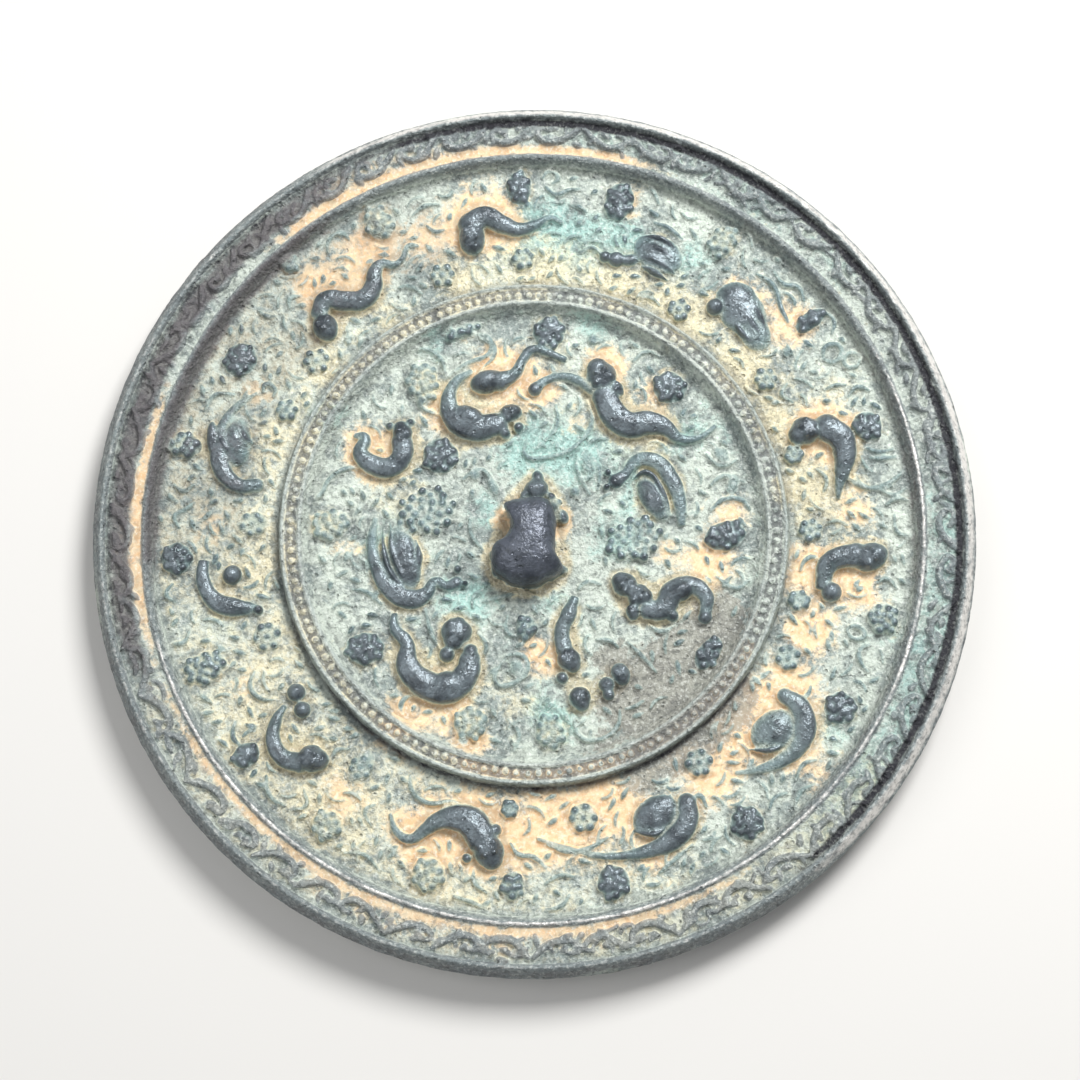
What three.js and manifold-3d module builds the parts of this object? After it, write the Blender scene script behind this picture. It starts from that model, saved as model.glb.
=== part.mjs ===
// An old cast bronze mirror, lying on its polished face with the decorated back up: a rim with a
// narrow band, an outer and an inner field of beasts, birds and grapes, a beaded ring between
// them, and a crouching beast in the middle as the knob, pierced for a cord.
// Millimetres, +Z up, origin under the middle of the polished face.

import * as THREE from 'three';
import { mergeVertices } from 'three/addons/utils/BufferGeometryUtils.js';
import Module from 'manifold-3d';

const wasm = await Module();
wasm.setup();

// Rim and polished face
const mirrorRadius = 85;
const rimBevelWidth = 2.3;
const rimHeight = 11;
const shoulderHeight = 7.8;
const faceFlatRadius = 40;
const faceRise = 1;
const edgeUndercut = 0.8;

// Decorated band inside the rim
const bandWidth = 8;
const bandOuterHeight = 10;
const bandTroughHeight = 8.7;
const bandLineHeight = 9.2;
const bandLineWidth = 0.8;
const rimInnerWidth = 0.5;
const bandWallWidth = 1.8;

// Fields and the ring between them
const fieldThickness = 5;
const innerFieldRise = 0.4;
const outerFieldRise = 1.1;
const ringRadius = 48.7;
const ringWidth = 3.7;
const ringHeight = 8.4;
const ringLineWidth = 0.8;
const ringTroughDepth = 0.4;
const ringInnerSlopeWidth = 2;
const ringOuterSlopeWidth = 0.7;

// Relief, measured up from the field
const beastHeight = 3.1;
const headHeight = 3.6;
const birdHeight = 2.6;
const grapeHeight = 2.1;
const rosetteHeight = 1.3;
const reliefRoot = 0.7;
const rootSpread = 1.08;

// Knob and its cord hole
const knobHeight = 9;
const knobLength = 22;
const knobTurn = 14;
const knobSeatMargin = 2;
const knobSeatGap = 0.02;
const cordHoleWidth = 6.6;
const cordHoleHeight = 5;
const cordHoleRounding = 1;
const cordHoleTurn = -29;
const cordHoleReach = 2;

// Sides of the round forms
const mirrorSides = 60;
const domeSides = 8;
const smallSides = 6;
const knobSides = 10;

const deg = Math.PI / 180;
const crestRadius = mirrorRadius - rimBevelWidth;
const bandLineRadius = crestRadius - bandWidth;
const wallFootRadius = bandLineRadius - bandWallWidth;
const ringInnerRadius = ringRadius - ringWidth;
const innerFootRadius = ringInnerRadius - ringInnerSlopeWidth;
const outerFootRadius = ringRadius + ringOuterSlopeWidth;
const knobSeatRadius = knobLength / 2 + knobSeatMargin;

// Height of the ground of either field at a distance from the middle; it is level under the knob.
function fieldHeight(radius) {
  if (radius < ringInnerRadius) {
    const slope = innerFieldRise / (innerFootRadius - knobSeatRadius);
    return fieldThickness + slope * Math.max(radius - knobSeatRadius, 0);
  }
  const share = (radius - outerFootRadius) / (wallFootRadius - outerFootRadius);
  return fieldThickness + innerFieldRise + (outerFieldRise - innerFieldRise) * share;
}

// The inner field's drawing is given as it lies on a field of this radius.
const drawnFieldRadius = 45;

function inner(x, y) {
  const scale = ringInnerRadius / drawnFieldRadius;
  return [x * scale, y * scale];
}

// The outer field's drawing is given by angle and by the share of the way out to the band.
function outer(angle, share) {
  const radius = ringRadius + share * (bandLineRadius - ringRadius);
  return [radius * Math.cos(angle * deg), radius * Math.sin(angle * deg)];
}

// Closed geometry to solid, with shared vertices merged and collapsed triangles left out.
function solid(geometry) {
  const plain = geometry.clone();
  plain.deleteAttribute('normal');
  plain.deleteAttribute('uv');
  const merged = mergeVertices(plain, 1e-4);
  const index = merged.index.array;
  const triangles = [];
  for (let i = 0; i < index.length; i += 3) {
    const [a, b, c] = [index[i], index[i + 1], index[i + 2]];
    if (a !== b && b !== c && c !== a) {
      triangles.push(a, b, c);
    }
  }
  return new wasm.Manifold(new wasm.Mesh({
    numProp: 3,
    vertProperties: new Float32Array(merged.attributes.position.array),
    triVerts: new Uint32Array(triangles),
  }));
}

function turned(profile, sides) {
  const points = profile.map(([radius, height]) => new THREE.Vector2(radius, height));
  const geometry = new THREE.LatheGeometry(points, sides);
  geometry.rotateX(Math.PI / 2);
  return geometry;
}

// The plate: polished face, edge, rim, band, fields and ring in one turned profile.
function plate() {
  const edgeRadius = mirrorRadius - edgeUndercut;
  const face = [0.5, 1].map((share) => [
    faceFlatRadius + share * (edgeRadius - faceFlatRadius),
    faceRise * share * share,
  ]);
  const rim = [
    [mirrorRadius, shoulderHeight],
    [crestRadius, rimHeight],
    [crestRadius - rimInnerWidth, bandOuterHeight],
  ];
  const band = [
    [bandLineRadius + 1.5 * bandLineWidth, bandTroughHeight],
    [bandLineRadius, bandLineHeight],
    [bandLineRadius - bandLineWidth / 2, bandLineHeight - ringTroughDepth],
    [wallFootRadius, fieldHeight(wallFootRadius)],
  ];
  const ring = [
    [outerFootRadius, fieldHeight(outerFootRadius)],
    [ringRadius, ringHeight],
    [ringRadius - ringLineWidth, ringHeight],
    [ringRadius - 1.5 * ringLineWidth, ringHeight - ringTroughDepth],
    [ringInnerRadius + ringLineWidth, ringHeight - ringTroughDepth],
    [ringInnerRadius, ringHeight],
    [innerFootRadius, fieldHeight(innerFootRadius)],
  ];
  const profile = [[0, 0], [faceFlatRadius, 0], ...face, ...rim, ...band, ...ring];
  profile.push([knobSeatRadius, fieldThickness], [0, fieldThickness]);
  return solid(turned(profile, mirrorSides));
}

// A low dome on the field: a grape cluster, a rosette, a head or a paw.
function dome([x, y], across, along, height, turn = 0, sides = domeSides) {
  const profile = [[0, -reliefRoot / height], [rootSpread, -reliefRoot / height], [0.74, 0.7], [0, 1]];
  const geometry = turned(profile, sides);
  geometry.scale(across / 2, along / 2, height);
  geometry.rotateZ(turn * deg);
  geometry.translate(x, y, fieldHeight(Math.hypot(x, y)));
  return solid(geometry);
}

// A rounded ridge along a spine of points and widths: a body, a tail, a neck or a vine.
function ridge(spine, height, arcs) {
  const widest = Math.max(...spine.map((point) => point[2]));
  const stations = spine.map(([x, y, width]) => new THREE.Vector3(x, y, width));
  const positions = [];
  const triangles = [];
  const ringSize = arcs + 1;
  stations.forEach((station, i) => {
    const before = stations[Math.max(i - 1, 0)];
    const after = stations[Math.min(i + 1, stations.length - 1)];
    const along = new THREE.Vector2(after.x - before.x, after.y - before.y).normalize();
    const half = Math.max(station.z, 0.3) / 2;
    const ground = fieldHeight(Math.hypot(station.x, station.y));
    const rise = height * Math.sqrt(2 * half / widest);
    const corner = (side, up) => {
      positions.push(station.x - along.y * half * side, station.y + along.x * half * side, ground + up);
    };
    corner(-rootSpread, -reliefRoot);
    for (let k = arcs - 1; k > 0; k -= 1) {
      corner(Math.cos(Math.PI * k / arcs), rise * Math.sin(Math.PI * k / arcs));
    }
    corner(rootSpread, -reliefRoot);
  });
  for (let i = 0; i < stations.length - 1; i += 1) {
    for (let k = 0; k < ringSize; k += 1) {
      const a = i * ringSize + k;
      const b = i * ringSize + (k + 1) % ringSize;
      triangles.push(a, a + ringSize, b, b, a + ringSize, b + ringSize);
    }
  }
  const last = (stations.length - 1) * ringSize;
  for (let k = 1; k < ringSize - 1; k += 1) {
    triangles.push(0, k, k + 1, last, last + k + 1, last + k);
  }
  const geometry = new THREE.BufferGeometry();
  geometry.setAttribute('position', new THREE.Float32BufferAttribute(positions, 3));
  geometry.setIndex(triangles);
  return solid(geometry);
}

// Spines are lists of place and width there, from the tail to the head or the tip.
const innerSpine = (points) => points.map(([x, y, width]) => [...inner(x, y), width]);
const outerSpine = (points) => points.map(([angle, share, width]) => [...outer(angle, share), width]);

// Beasts of the inner field
const innerBeasts = [
  [[-30.3, 24.7, 1], [-28, 22.6, 2.4], [-30, 20.6, 3.2], [-28, 18.4, 3.8], [-24.8, 18, 4], [-22, 19.6, 3.8],
    [-20.9, 22, 3.4]],
  [[12, 32.7, 1], [8.3, 35, 1.9], [5.4, 35, 2.4], [3.6, 32.3, 3.2], [0.6, 30.6, 4.4], [-4, 30.6, 5.4],
    [-8.6, 28.4, 5.8], [-9.6, 24.6, 5.4], [-6.4, 22, 5], [-2.4, 21.8, 4.4]],
  [[37.3, 14, 1], [33, 12.7, 1.8], [29.6, 14.4, 2.4], [26.6, 17, 4.2], [22.6, 17, 5.4], [19.6, 19.8, 5.7],
    [18.7, 23, 5.4], [18.3, 26, 4.6]],
  [[-29.3, -12, 1], [-28.8, -14.4, 2], [-27.2, -17, 3.4], [-27, -21.4, 5.2], [-24.6, -25.8, 5.8],
    [-20.6, -26.8, 5.6], [-16.8, -24.2, 5], [-16.4, -21, 4.4]],
  [[29.6, -20.6, 2], [30, -17.4, 3.2], [27.6, -15.2, 3.8], [24.2, -16, 4.4], [21.6, -19, 4.6],
    [18.8, -18.6, 4.4]],
  [[5.6, -14.2, 1.6], [3.4, -16.8, 3.3], [0.9, -20.6, 3.3], [1.6, -24.6, 3.6]],
];

// Heads, paws and the worn lumps of the beast below the knob: place and diameter
const innerHeads = [
  [-20.9, 23.6, 4.2],
  [0.6, 23.4, 5.4],
  [18.3, 28, 7.2],
  [20.8, 25.4, 4],
  [-17.2, -17.4, 7],
  [-19.7, -20.4, 3.4],
  [-15, -20.4, 3.4],
  [16.4, -13.2, 6.4],
  [17.8, -16.6, 6.4],
  [2.3, -25.4, 5.4],
  [3.3, -33.2, 4.8],
  [11.6, -29.6, 4.6],
  [8.5, -32, 3.6],
];

// Birds of the inner field: bodies, necks and the small curls of their tails
const innerBirds = [
  [[-25.6, 7.4, 1], [-28.6, 2.6, 3], [-28.6, -2.4, 4.2], [-26.6, -6.8, 4.2], [-23.6, -8.8, 3.2], [-20.6, -7, 2],
    [-17.4, -7.4, 2.2]],
  [[28.3, -3, 1], [29, 0.4, 3], [28.3, 5, 4.4], [26.4, 8.6, 4.6], [23, 9.8, 3.6], [19.8, 7.4, 2], [17.3, 7, 2.6]],
];
const innerWings = [
  [-25, -1, 5.6, 12, 6],
  [25, 3.6, 4.4, 8.6, 20],
];
const innerFans = [
  [-18, 7.7, 10, 8.5, 0],
  [20.6, -5, 10.5, 7, 0],
];

// Grape clusters of the inner field: place, width, height and turn
const innerGrapes = [
  [-38.5, 8.2, 8, 6, 0],
  [-15.3, 18, 7, 7, 0],
  [-16.3, 33, 6.5, 9, 0],
  [9.7, 38.7, 6.5, 6.5, 0],
  [31, 23.7, 6.5, 6.5, 0],
  [36.3, -7, 8.3, 5.7, 8],
  [-35.8, -16.8, 7.7, 6.3, 0],
  [-18, -34.3, 6.7, 6.7, 0],
  [-3.3, -38.7, 5.7, 7.3, 0],
  [29, -29, 7.3, 4.3, 45],
  [-7, 42, 8, 3, 10],
  [-4.5, -18, 4, 5, 0],
];

// Small leaves and buds of the inner field: place, width, height and turn
const innerLeaves = [
  [-9.3, 13.3, 2.6, 2.6, 0],
  [-6.2, 10.3, 2, 4.4, 15],
  [12.7, 11.7, 3, 7.5, 5],
  [9.2, 6.5, 2.4, 2.4, 0],
  [18, 35.7, 2.6, 2.6, 0],
  [38.4, 8.6, 2.6, 5, 30],
  [39.6, 2.6, 2.6, 5, -20],
  [-20, -37.8, 2.6, 2.6, 0],
  [-7.5, -25.6, 3.4, 4.4, 20],
];

// Beasts of the outer field, by angle, share and width
const outerBeasts = [
  [[75, 0.52, 1], [77.4, 0.55, 1.6], [80, 0.49, 2.4], [83, 0.46, 3.2], [86, 0.51, 4.2], [89, 0.58, 5.2],
    [91.6, 0.54, 5.6]],
  [[101.8, 0.5, 0.8], [103.6, 0.53, 1.2], [105.4, 0.46, 1.4], [107.4, 0.44, 1.6], [109.4, 0.49, 2.2],
    [111.2, 0.46, 3.4], [113, 0.37, 4.2], [116, 0.33, 4.6], [119, 0.4, 4.6], [121.8, 0.5, 4.4],
    [124, 0.46, 4]],
  [[205.6, 0.36, 1.2], [207, 0.48, 2.6], [210, 0.59, 3.4], [212.8, 0.6, 3.8], [215.4, 0.54, 4.4]],
  [[233.6, 0.45, 0.8], [236.2, 0.55, 1.6], [238.8, 0.56, 2.2], [240.6, 0.46, 2.8], [242.6, 0.36, 4],
    [245.4, 0.31, 5.6], [248.4, 0.32, 6.6], [251, 0.42, 6.6]],
  [[338.6, 0.3, 3], [340.8, 0.3, 3.6], [343.4, 0.31, 4.4], [345.2, 0.4, 4.8], [345.8, 0.52, 5.4]],
  [[-3.6, 0.4, 1], [-1.4, 0.42, 2], [1, 0.46, 3.4], [4, 0.51, 4.8], [7.2, 0.52, 5.8], [9.8, 0.45, 6]],
];

// Heads and paws of the outer beasts: angle, share and diameter
const outerHeads = [
  [91.8, 0.4, 6],
  [125.4, 0.36, 6],
  [217, 0.46, 6.6],
  [208, 0.19, 4.6],
  [252.7, 0.51, 7.4],
  [254.4, 0.38, 4],
  [345.7, 0.62, 8],
  [338.6, 0.29, 4.2],
  [10.8, 0.3, 6.6],
  [8.8, 0.18, 3.6],
];

// Birds of the outer field, from the tail to the head
const outerBirds = [
  [[143, 0.48, 0.8], [147, 0.57, 1.6], [151, 0.56, 3], [155, 0.52, 5.6], [158.6, 0.47, 4.4], [160.9, 0.36, 2.4],
    [160.4, 0.24, 2.2]],
  [[175.4, 0.57, 1], [178, 0.56, 2], [180.4, 0.52, 2.6], [181.2, 0.44, 2.4], [179.6, 0.37, 2]],
  [[182.4, 0.55, 2], [183.6, 0.46, 4], [184.2, 0.36, 3.6], [185.2, 0.23, 1]],
  [[270, 0.5, 0.8], [274, 0.56, 1.4], [278, 0.58, 2.6], [282, 0.57, 5], [285.4, 0.53, 6.4], [287.6, 0.43, 4.6],
    [287.8, 0.34, 3]],
  [[299.6, 0.44, 0.8], [303, 0.53, 1.6], [306.6, 0.56, 4.6], [310.6, 0.54, 8.4], [314, 0.5, 7],
    [315.6, 0.4, 4], [315.6, 0.32, 3]],
  [[24.6, 0.52, 1], [27.6, 0.48, 4.4], [31.4, 0.48, 8], [35.4, 0.47, 9.4], [38.4, 0.4, 6.6],
    [39.8, 0.28, 3.6], [39.6, 0.22, 2.6]],
  [[48.8, 0.36, 1.4], [51.6, 0.4, 6], [55, 0.43, 9], [58.6, 0.42, 8], [60.8, 0.33, 3.2], [62.6, 0.24, 2.8],
    [64.6, 0.28, 2.8]],
];

// Grape clusters of the outer field: angle, share, size across and size outwards
const outerGrapes = [
  [8, 0.74, 5.8, 5.8],
  [28, 0.76, 3.4, 7],
  [47.5, 0.77, 5.4, 7.5],
  [66, 0.76, 5.8, 8],
  [82.7, 0.79, 5, 7],
  [106.5, 0.79, 6, 7.5],
  [122, 0.9, 4, 4],
  [139.4, 0.7, 7, 6.5],
  [156, 0.83, 5, 7.5],
  [174.5, 0.78, 6.2, 6.2],
  [193, 0.75, 6, 9],
  [208.5, 0.8, 4.5, 6],
  [225.5, 0.76, 6, 6],
  [243.5, 0.76, 6.6, 6.6],
  [257, 0.73, 4.5, 5.5],
  [273, 0.77, 6.2, 6.6],
  [296, 0.78, 6.6, 6.6],
  [319.8, 0.73, 6.4, 6.2],
  [336, 0.78, 6.2, 6],
];

// Low rosettes of the outer field, next to the ring: angle, share and diameters
const outerRosettes = [
  [7, 0.15, 4, 4],
  [24, 0.22, 5, 5],
  [47.5, 0.15, 5, 5],
  [82.5, 0.23, 4.8, 4.8],
  [99.5, 0.22, 5.4, 5.4],
  [131.5, 0.22, 6, 5],
  [143.5, 0.2, 4.8, 4.8],
  [168.5, 0.22, 5.4, 7],
  [192, 0.24, 6.2, 6.2],
  [224.5, 0.28, 5, 8],
  [255.5, 0.18, 3.5, 3.5],
  [270, 0.27, 6.2, 6.2],
  [295.5, 0.22, 6, 6],
  [323.5, 0.22, 5.5, 5.5],
  [335.5, 0.15, 4.5, 4.5],
  [350.5, 0.18, 5, 5],
];

// Everything that stands on the two fields, as a list of solids.
function relief() {
  const forms = [];
  const beast = (spine) => forms.push(ridge(spine, beastHeight, 4));
  const bird = (spine) => forms.push(ridge(spine, birdHeight, 4));
  const head = (place, size) => forms.push(dome(place, size, size, headHeight * Math.min(1, size / 6)));
  innerBeasts.map(innerSpine).forEach(beast);
  outerBeasts.map(outerSpine).forEach(beast);
  innerBirds.map(innerSpine).forEach(bird);
  outerBirds.map(outerSpine).forEach(bird);
  innerHeads.forEach(([x, y, size]) => head(inner(x, y), size));
  outerHeads.forEach(([angle, share, size]) => head(outer(angle, share), size));
  innerWings.forEach(([x, y, w, h, turn]) => forms.push(dome(inner(x, y), w, h, birdHeight, turn)));
  innerFans.forEach(([x, y, w, h, turn]) => forms.push(dome(inner(x, y), w, h, rosetteHeight, turn)));
  innerGrapes.forEach(([x, y, w, h, turn]) => forms.push(dome(inner(x, y), w, h, grapeHeight, turn)));
  innerLeaves.forEach(([x, y, w, h, turn]) => {
    forms.push(dome(inner(x, y), w, h, rosetteHeight, turn, smallSides));
  });
  outerGrapes.forEach(([angle, share, across, outwards]) => {
    forms.push(dome(outer(angle, share), outwards, across, grapeHeight, angle));
  });
  outerRosettes.forEach(([angle, share, across, outwards]) => {
    forms.push(dome(outer(angle, share), outwards, across, rosetteHeight, angle, smallSides));
  });
  return forms;
}

// Masses of the knob, in shares of its length (place and half sizes) and of its height (the middle
// over the field and the half height): shoulders, rump, waist, forehead and muzzle
const knobMasses = [
  [-0.018, 0.136, 0.214, 0.191, 0.4, 0.6],
  [-0.091, -0.209, 0.273, 0.264, 0.367, 0.6],
  [-0.055, -0.045, 0.191, 0.245, 0.422, 0.556],
  [0.073, 0.345, 0.136, 0.127, 0.133, 0.378],
  [0.105, 0.455, 0.073, 0.077, 0.067, 0.244],
];

// Paws and the ear of the knob, in shares of its length: place and half width
const knobPaws = [
  [-0.318, -0.155, 0.1],
  [-0.318, -0.291, 0.095],
  [0.136, -0.355, 0.1],
  [0.218, 0.105, 0.1],
  [0.195, 0.218, 0.082],
];

// A round mass of the knob, from its shares.
function mass([x, y, across, along, up, tall], sides) {
  const geometry = new THREE.SphereGeometry(1, sides, sides / 2);
  geometry.rotateX(Math.PI / 2);
  geometry.scale(across * knobLength, along * knobLength, tall * knobHeight);
  geometry.rotateZ(knobTurn * deg);
  geometry.translate(x * knobLength, y * knobLength, fieldThickness + up * knobHeight);
  return solid(geometry);
}

// The knob: a crouching beast with its head towards +Y, arched over the cord hole.
function knob() {
  const body = knobMasses.map((shares) => mass(shares, knobSides));
  const paws = knobPaws.map(([x, y, half]) => mass([x, y, half, half, 0.02, 0.25], smallSides));
  return [...body, ...paws];
}

// The cord hole: a straight tunnel with rounded upper corners, on the field under the knob's back.
function cordHole() {
  const side = cordHoleWidth / 2;
  const round = cordHoleRounding;
  const outline = new THREE.Shape();
  outline.moveTo(-side, 0);
  outline.lineTo(side, 0);
  outline.absarc(side - round, cordHoleHeight - round, round, 0, Math.PI / 2, false);
  outline.absarc(round - side, cordHoleHeight - round, round, Math.PI / 2, Math.PI, false);
  outline.closePath();
  const depth = knobLength + 2 * cordHoleReach;
  const geometry = new THREE.ExtrudeGeometry(outline, { depth, bevelEnabled: false, curveSegments: 3 });
  geometry.translate(0, 0, -depth / 2);
  geometry.rotateX(Math.PI / 2);
  geometry.rotateZ((90 + cordHoleTurn) * deg);
  geometry.translate(0, 0, fieldThickness);
  return solid(geometry);
}

// Everything under the knob's foot, to be cut from its masses.
function underKnob() {
  const geometry = new THREE.BoxGeometry(2 * knobLength, 2 * knobLength, knobHeight);
  geometry.translate(0, 0, fieldThickness + knobSeatGap - knobHeight / 2);
  return solid(geometry);
}

function meshGeometry(body) {
  const mesh = body.getMesh();
  const geometry = new THREE.BufferGeometry();
  geometry.setAttribute('position', new THREE.Float32BufferAttribute(mesh.vertProperties, 3));
  geometry.setIndex(new THREE.Uint32BufferAttribute(mesh.triVerts, 1));
  geometry.computeVertexNormals();
  return geometry;
}

// The casting is parted at the foot of its knob, as a caster would part it.
const bronze = new THREE.MeshStandardMaterial({ color: 0x5f7470, roughness: 0.62, metalness: 0.45 });
const mirror = new THREE.Mesh(meshGeometry(wasm.Manifold.union([plate(), ...relief()])), bronze);
mirror.name = 'mirror';

const darkBronze = new THREE.MeshStandardMaterial({ color: 0x4a4f58, roughness: 0.45, metalness: 0.55 });
const knobBody = wasm.Manifold.union(knob()).subtract(cordHole()).subtract(underKnob());
const mirrorKnob = new THREE.Mesh(meshGeometry(knobBody), darkBronze);
mirrorKnob.name = 'knob';

const part = new THREE.Group();
part.add(mirror, mirrorKnob);

export default part;
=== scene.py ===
import math
import random

import bpy
import numpy as np
from mathutils import Matrix, Vector


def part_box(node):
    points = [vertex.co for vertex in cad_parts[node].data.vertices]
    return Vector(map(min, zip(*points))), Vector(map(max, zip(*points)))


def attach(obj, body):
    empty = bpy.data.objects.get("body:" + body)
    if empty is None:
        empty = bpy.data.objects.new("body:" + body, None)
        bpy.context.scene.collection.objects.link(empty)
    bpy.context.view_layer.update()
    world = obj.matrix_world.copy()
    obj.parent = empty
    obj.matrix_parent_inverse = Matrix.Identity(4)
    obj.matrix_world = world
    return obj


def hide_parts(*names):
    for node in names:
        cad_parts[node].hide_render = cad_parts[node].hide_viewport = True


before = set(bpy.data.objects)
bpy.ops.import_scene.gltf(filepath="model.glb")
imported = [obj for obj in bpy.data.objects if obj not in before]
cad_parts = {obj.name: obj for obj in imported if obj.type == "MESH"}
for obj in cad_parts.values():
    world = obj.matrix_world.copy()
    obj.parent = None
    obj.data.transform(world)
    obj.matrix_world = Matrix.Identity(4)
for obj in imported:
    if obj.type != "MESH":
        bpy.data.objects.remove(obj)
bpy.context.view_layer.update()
bpy.ops.object.select_all(action="DESELECT")

mm = 0.001
mirrorLow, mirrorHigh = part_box("mirror")
mirrorRadius = (mirrorHigh.x - mirrorLow.x) / 2 / mm
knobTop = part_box("knob")[1].z / mm

# The plate, in mm, as turned: rim, band, two fields and the ring between them
plate = {
    "sides": 240,
    "rimBevelWidth": 2.3,
    "rimHeight": 11.0,
    "shoulderHeight": 7.8,
    "faceFlatRadius": 40.0,
    "faceRise": 1.0,
    "edgeUndercut": 0.8,
    "bandWidth": 8.0,
    "bandOuterHeight": 10.0,
    "bandTroughHeight": 8.7,
    "bandLineHeight": 9.3,
    "bandWallWidth": 1.8,
    "fieldThickness": 5.0,
    "innerFieldRise": 0.4,
    "outerFieldRise": 1.1,
    "ringRadius": 48.7,
    "ringWidth": 3.7,
    "ringHeight": 8.6,
    "ringTroughHeight": 7.85,
    "innerSlopeWidth": 2.0,
    "outerSlopeWidth": 0.7,
    "inset": 0.15,                # keeps the lumps of the skin inside the solid's box
}

# The skin that everything is fused into
skin = {
    "voxel": 0.26,
    "smoothRounds": 1,
    "lumpSize": 2.6,
    "lumpDepth": 0.13,
    "pitSize": 0.75,
    "pitDepth": 0.04,
    "triangles": 194000,
}

crestRadius = mirrorRadius - plate["rimBevelWidth"]
bandLineRadius = crestRadius - plate["bandWidth"]
wallFootRadius = bandLineRadius - plate["bandWallWidth"]
ringInnerRadius = plate["ringRadius"] - plate["ringWidth"]
innerFootRadius = ringInnerRadius - plate["innerSlopeWidth"]
outerFootRadius = plate["ringRadius"] + plate["outerSlopeWidth"]
innerEdgeHeight = plate["fieldThickness"] + plate["innerFieldRise"]
outerEdgeHeight = plate["fieldThickness"] + plate["outerFieldRise"]

# Decorated side from the rim to the middle, as radius and height
backOutline = [
    (mirrorRadius - plate["inset"], plate["shoulderHeight"]),
    (crestRadius + 0.25, plate["rimHeight"] - 0.1),
    (crestRadius - 0.25, plate["rimHeight"] - 0.1),
    (crestRadius - 0.6, plate["bandOuterHeight"] - 0.5),
    (bandLineRadius + 1.5, plate["bandTroughHeight"]),
    (bandLineRadius + 0.7, plate["bandTroughHeight"]),
    (bandLineRadius + 0.3, plate["bandLineHeight"] + 0.1),
    (bandLineRadius - 0.25, plate["bandLineHeight"] + 0.1),
    (bandLineRadius - 0.7, plate["bandTroughHeight"] - 0.1),
    (wallFootRadius + 0.2, outerEdgeHeight + 0.35),
    (wallFootRadius - 0.5, outerEdgeHeight),
    (outerFootRadius + 0.3, innerEdgeHeight),
    (outerFootRadius - 0.1, innerEdgeHeight + 0.3),
    (plate["ringRadius"] + 0.25, plate["ringTroughHeight"] - 0.2),
    (plate["ringRadius"], plate["ringHeight"]),
    (plate["ringRadius"] - 0.4, plate["ringHeight"]),
    (plate["ringRadius"] - 0.75, plate["ringTroughHeight"]),
    (ringInnerRadius + 0.75, plate["ringTroughHeight"]),
    (ringInnerRadius + 0.4, plate["ringHeight"]),
    (ringInnerRadius - 0.05, plate["ringHeight"]),
    (ringInnerRadius - 0.5, plate["ringTroughHeight"] - 0.4),
    (innerFootRadius + 0.4, innerEdgeHeight + 0.5),
    (innerFootRadius - 0.6, innerEdgeHeight),
    (1.0, plate["fieldThickness"]),
]

# Polished side from the edge to the middle
faceOutline = [
    (mirrorRadius - plate["edgeUndercut"], plate["faceRise"]),
    ((mirrorRadius + plate["faceFlatRadius"]) / 2, plate["faceRise"] / 4),
    (plate["faceFlatRadius"], 0.0),
    (1.0, 0.0),
]


def fieldHeight(radius):
    radii = [0, innerFootRadius, outerFootRadius, wallFootRadius]
    heights = [plate["fieldThickness"], innerEdgeHeight, innerEdgeHeight, outerEdgeHeight]
    return np.interp(radius, radii, heights)


def plateHeight(radius):
    radii = [point[0] for point in reversed(backOutline)]
    heights = [point[1] for point in reversed(backOutline)]
    return np.interp(radius, radii, heights)


def onPlate(angle, share):
    # share runs from the ring, 0, out to the line at the foot of the band, 1
    radius = plate["ringRadius"] + share * (bandLineRadius - plate["ringRadius"])
    return radius * math.cos(math.radians(angle)), radius * math.sin(math.radians(angle))


def pick(pieces):
    bpy.ops.object.select_all(action="DESELECT")
    for piece in pieces:
        piece.select_set(True)
    bpy.context.view_layer.objects.active = pieces[0]


def join(pieces, name):
    pick(pieces)
    if len(pieces) > 1:
        bpy.ops.object.join()
    piece = bpy.context.view_layer.objects.active
    piece.name = name
    piece.data.name = name
    return piece


def applyAll(piece):
    pick([piece])
    for modifier in list(piece.modifiers):
        bpy.ops.object.modifier_apply(modifier=modifier.name)


def remesh(piece, voxel):
    modifier = piece.modifiers.new("fused", "REMESH")
    modifier.mode = "VOXEL"
    modifier.voxel_size = voxel * mm
    applyAll(piece)


def copyAt(model, matrix, name):
    piece = bpy.data.objects.new(name, model.data.copy())
    piece.data.transform(matrix)
    bpy.context.scene.collection.objects.link(piece)
    return piece


def vertexPlaces(mesh):
    places = np.empty(len(mesh.vertices) * 3)
    mesh.vertices.foreach_get("co", places)
    return places.reshape(-1, 3)


def setPlaces(mesh, places):
    mesh.vertices.foreach_set("co", places.ravel())
    mesh.update()


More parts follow.
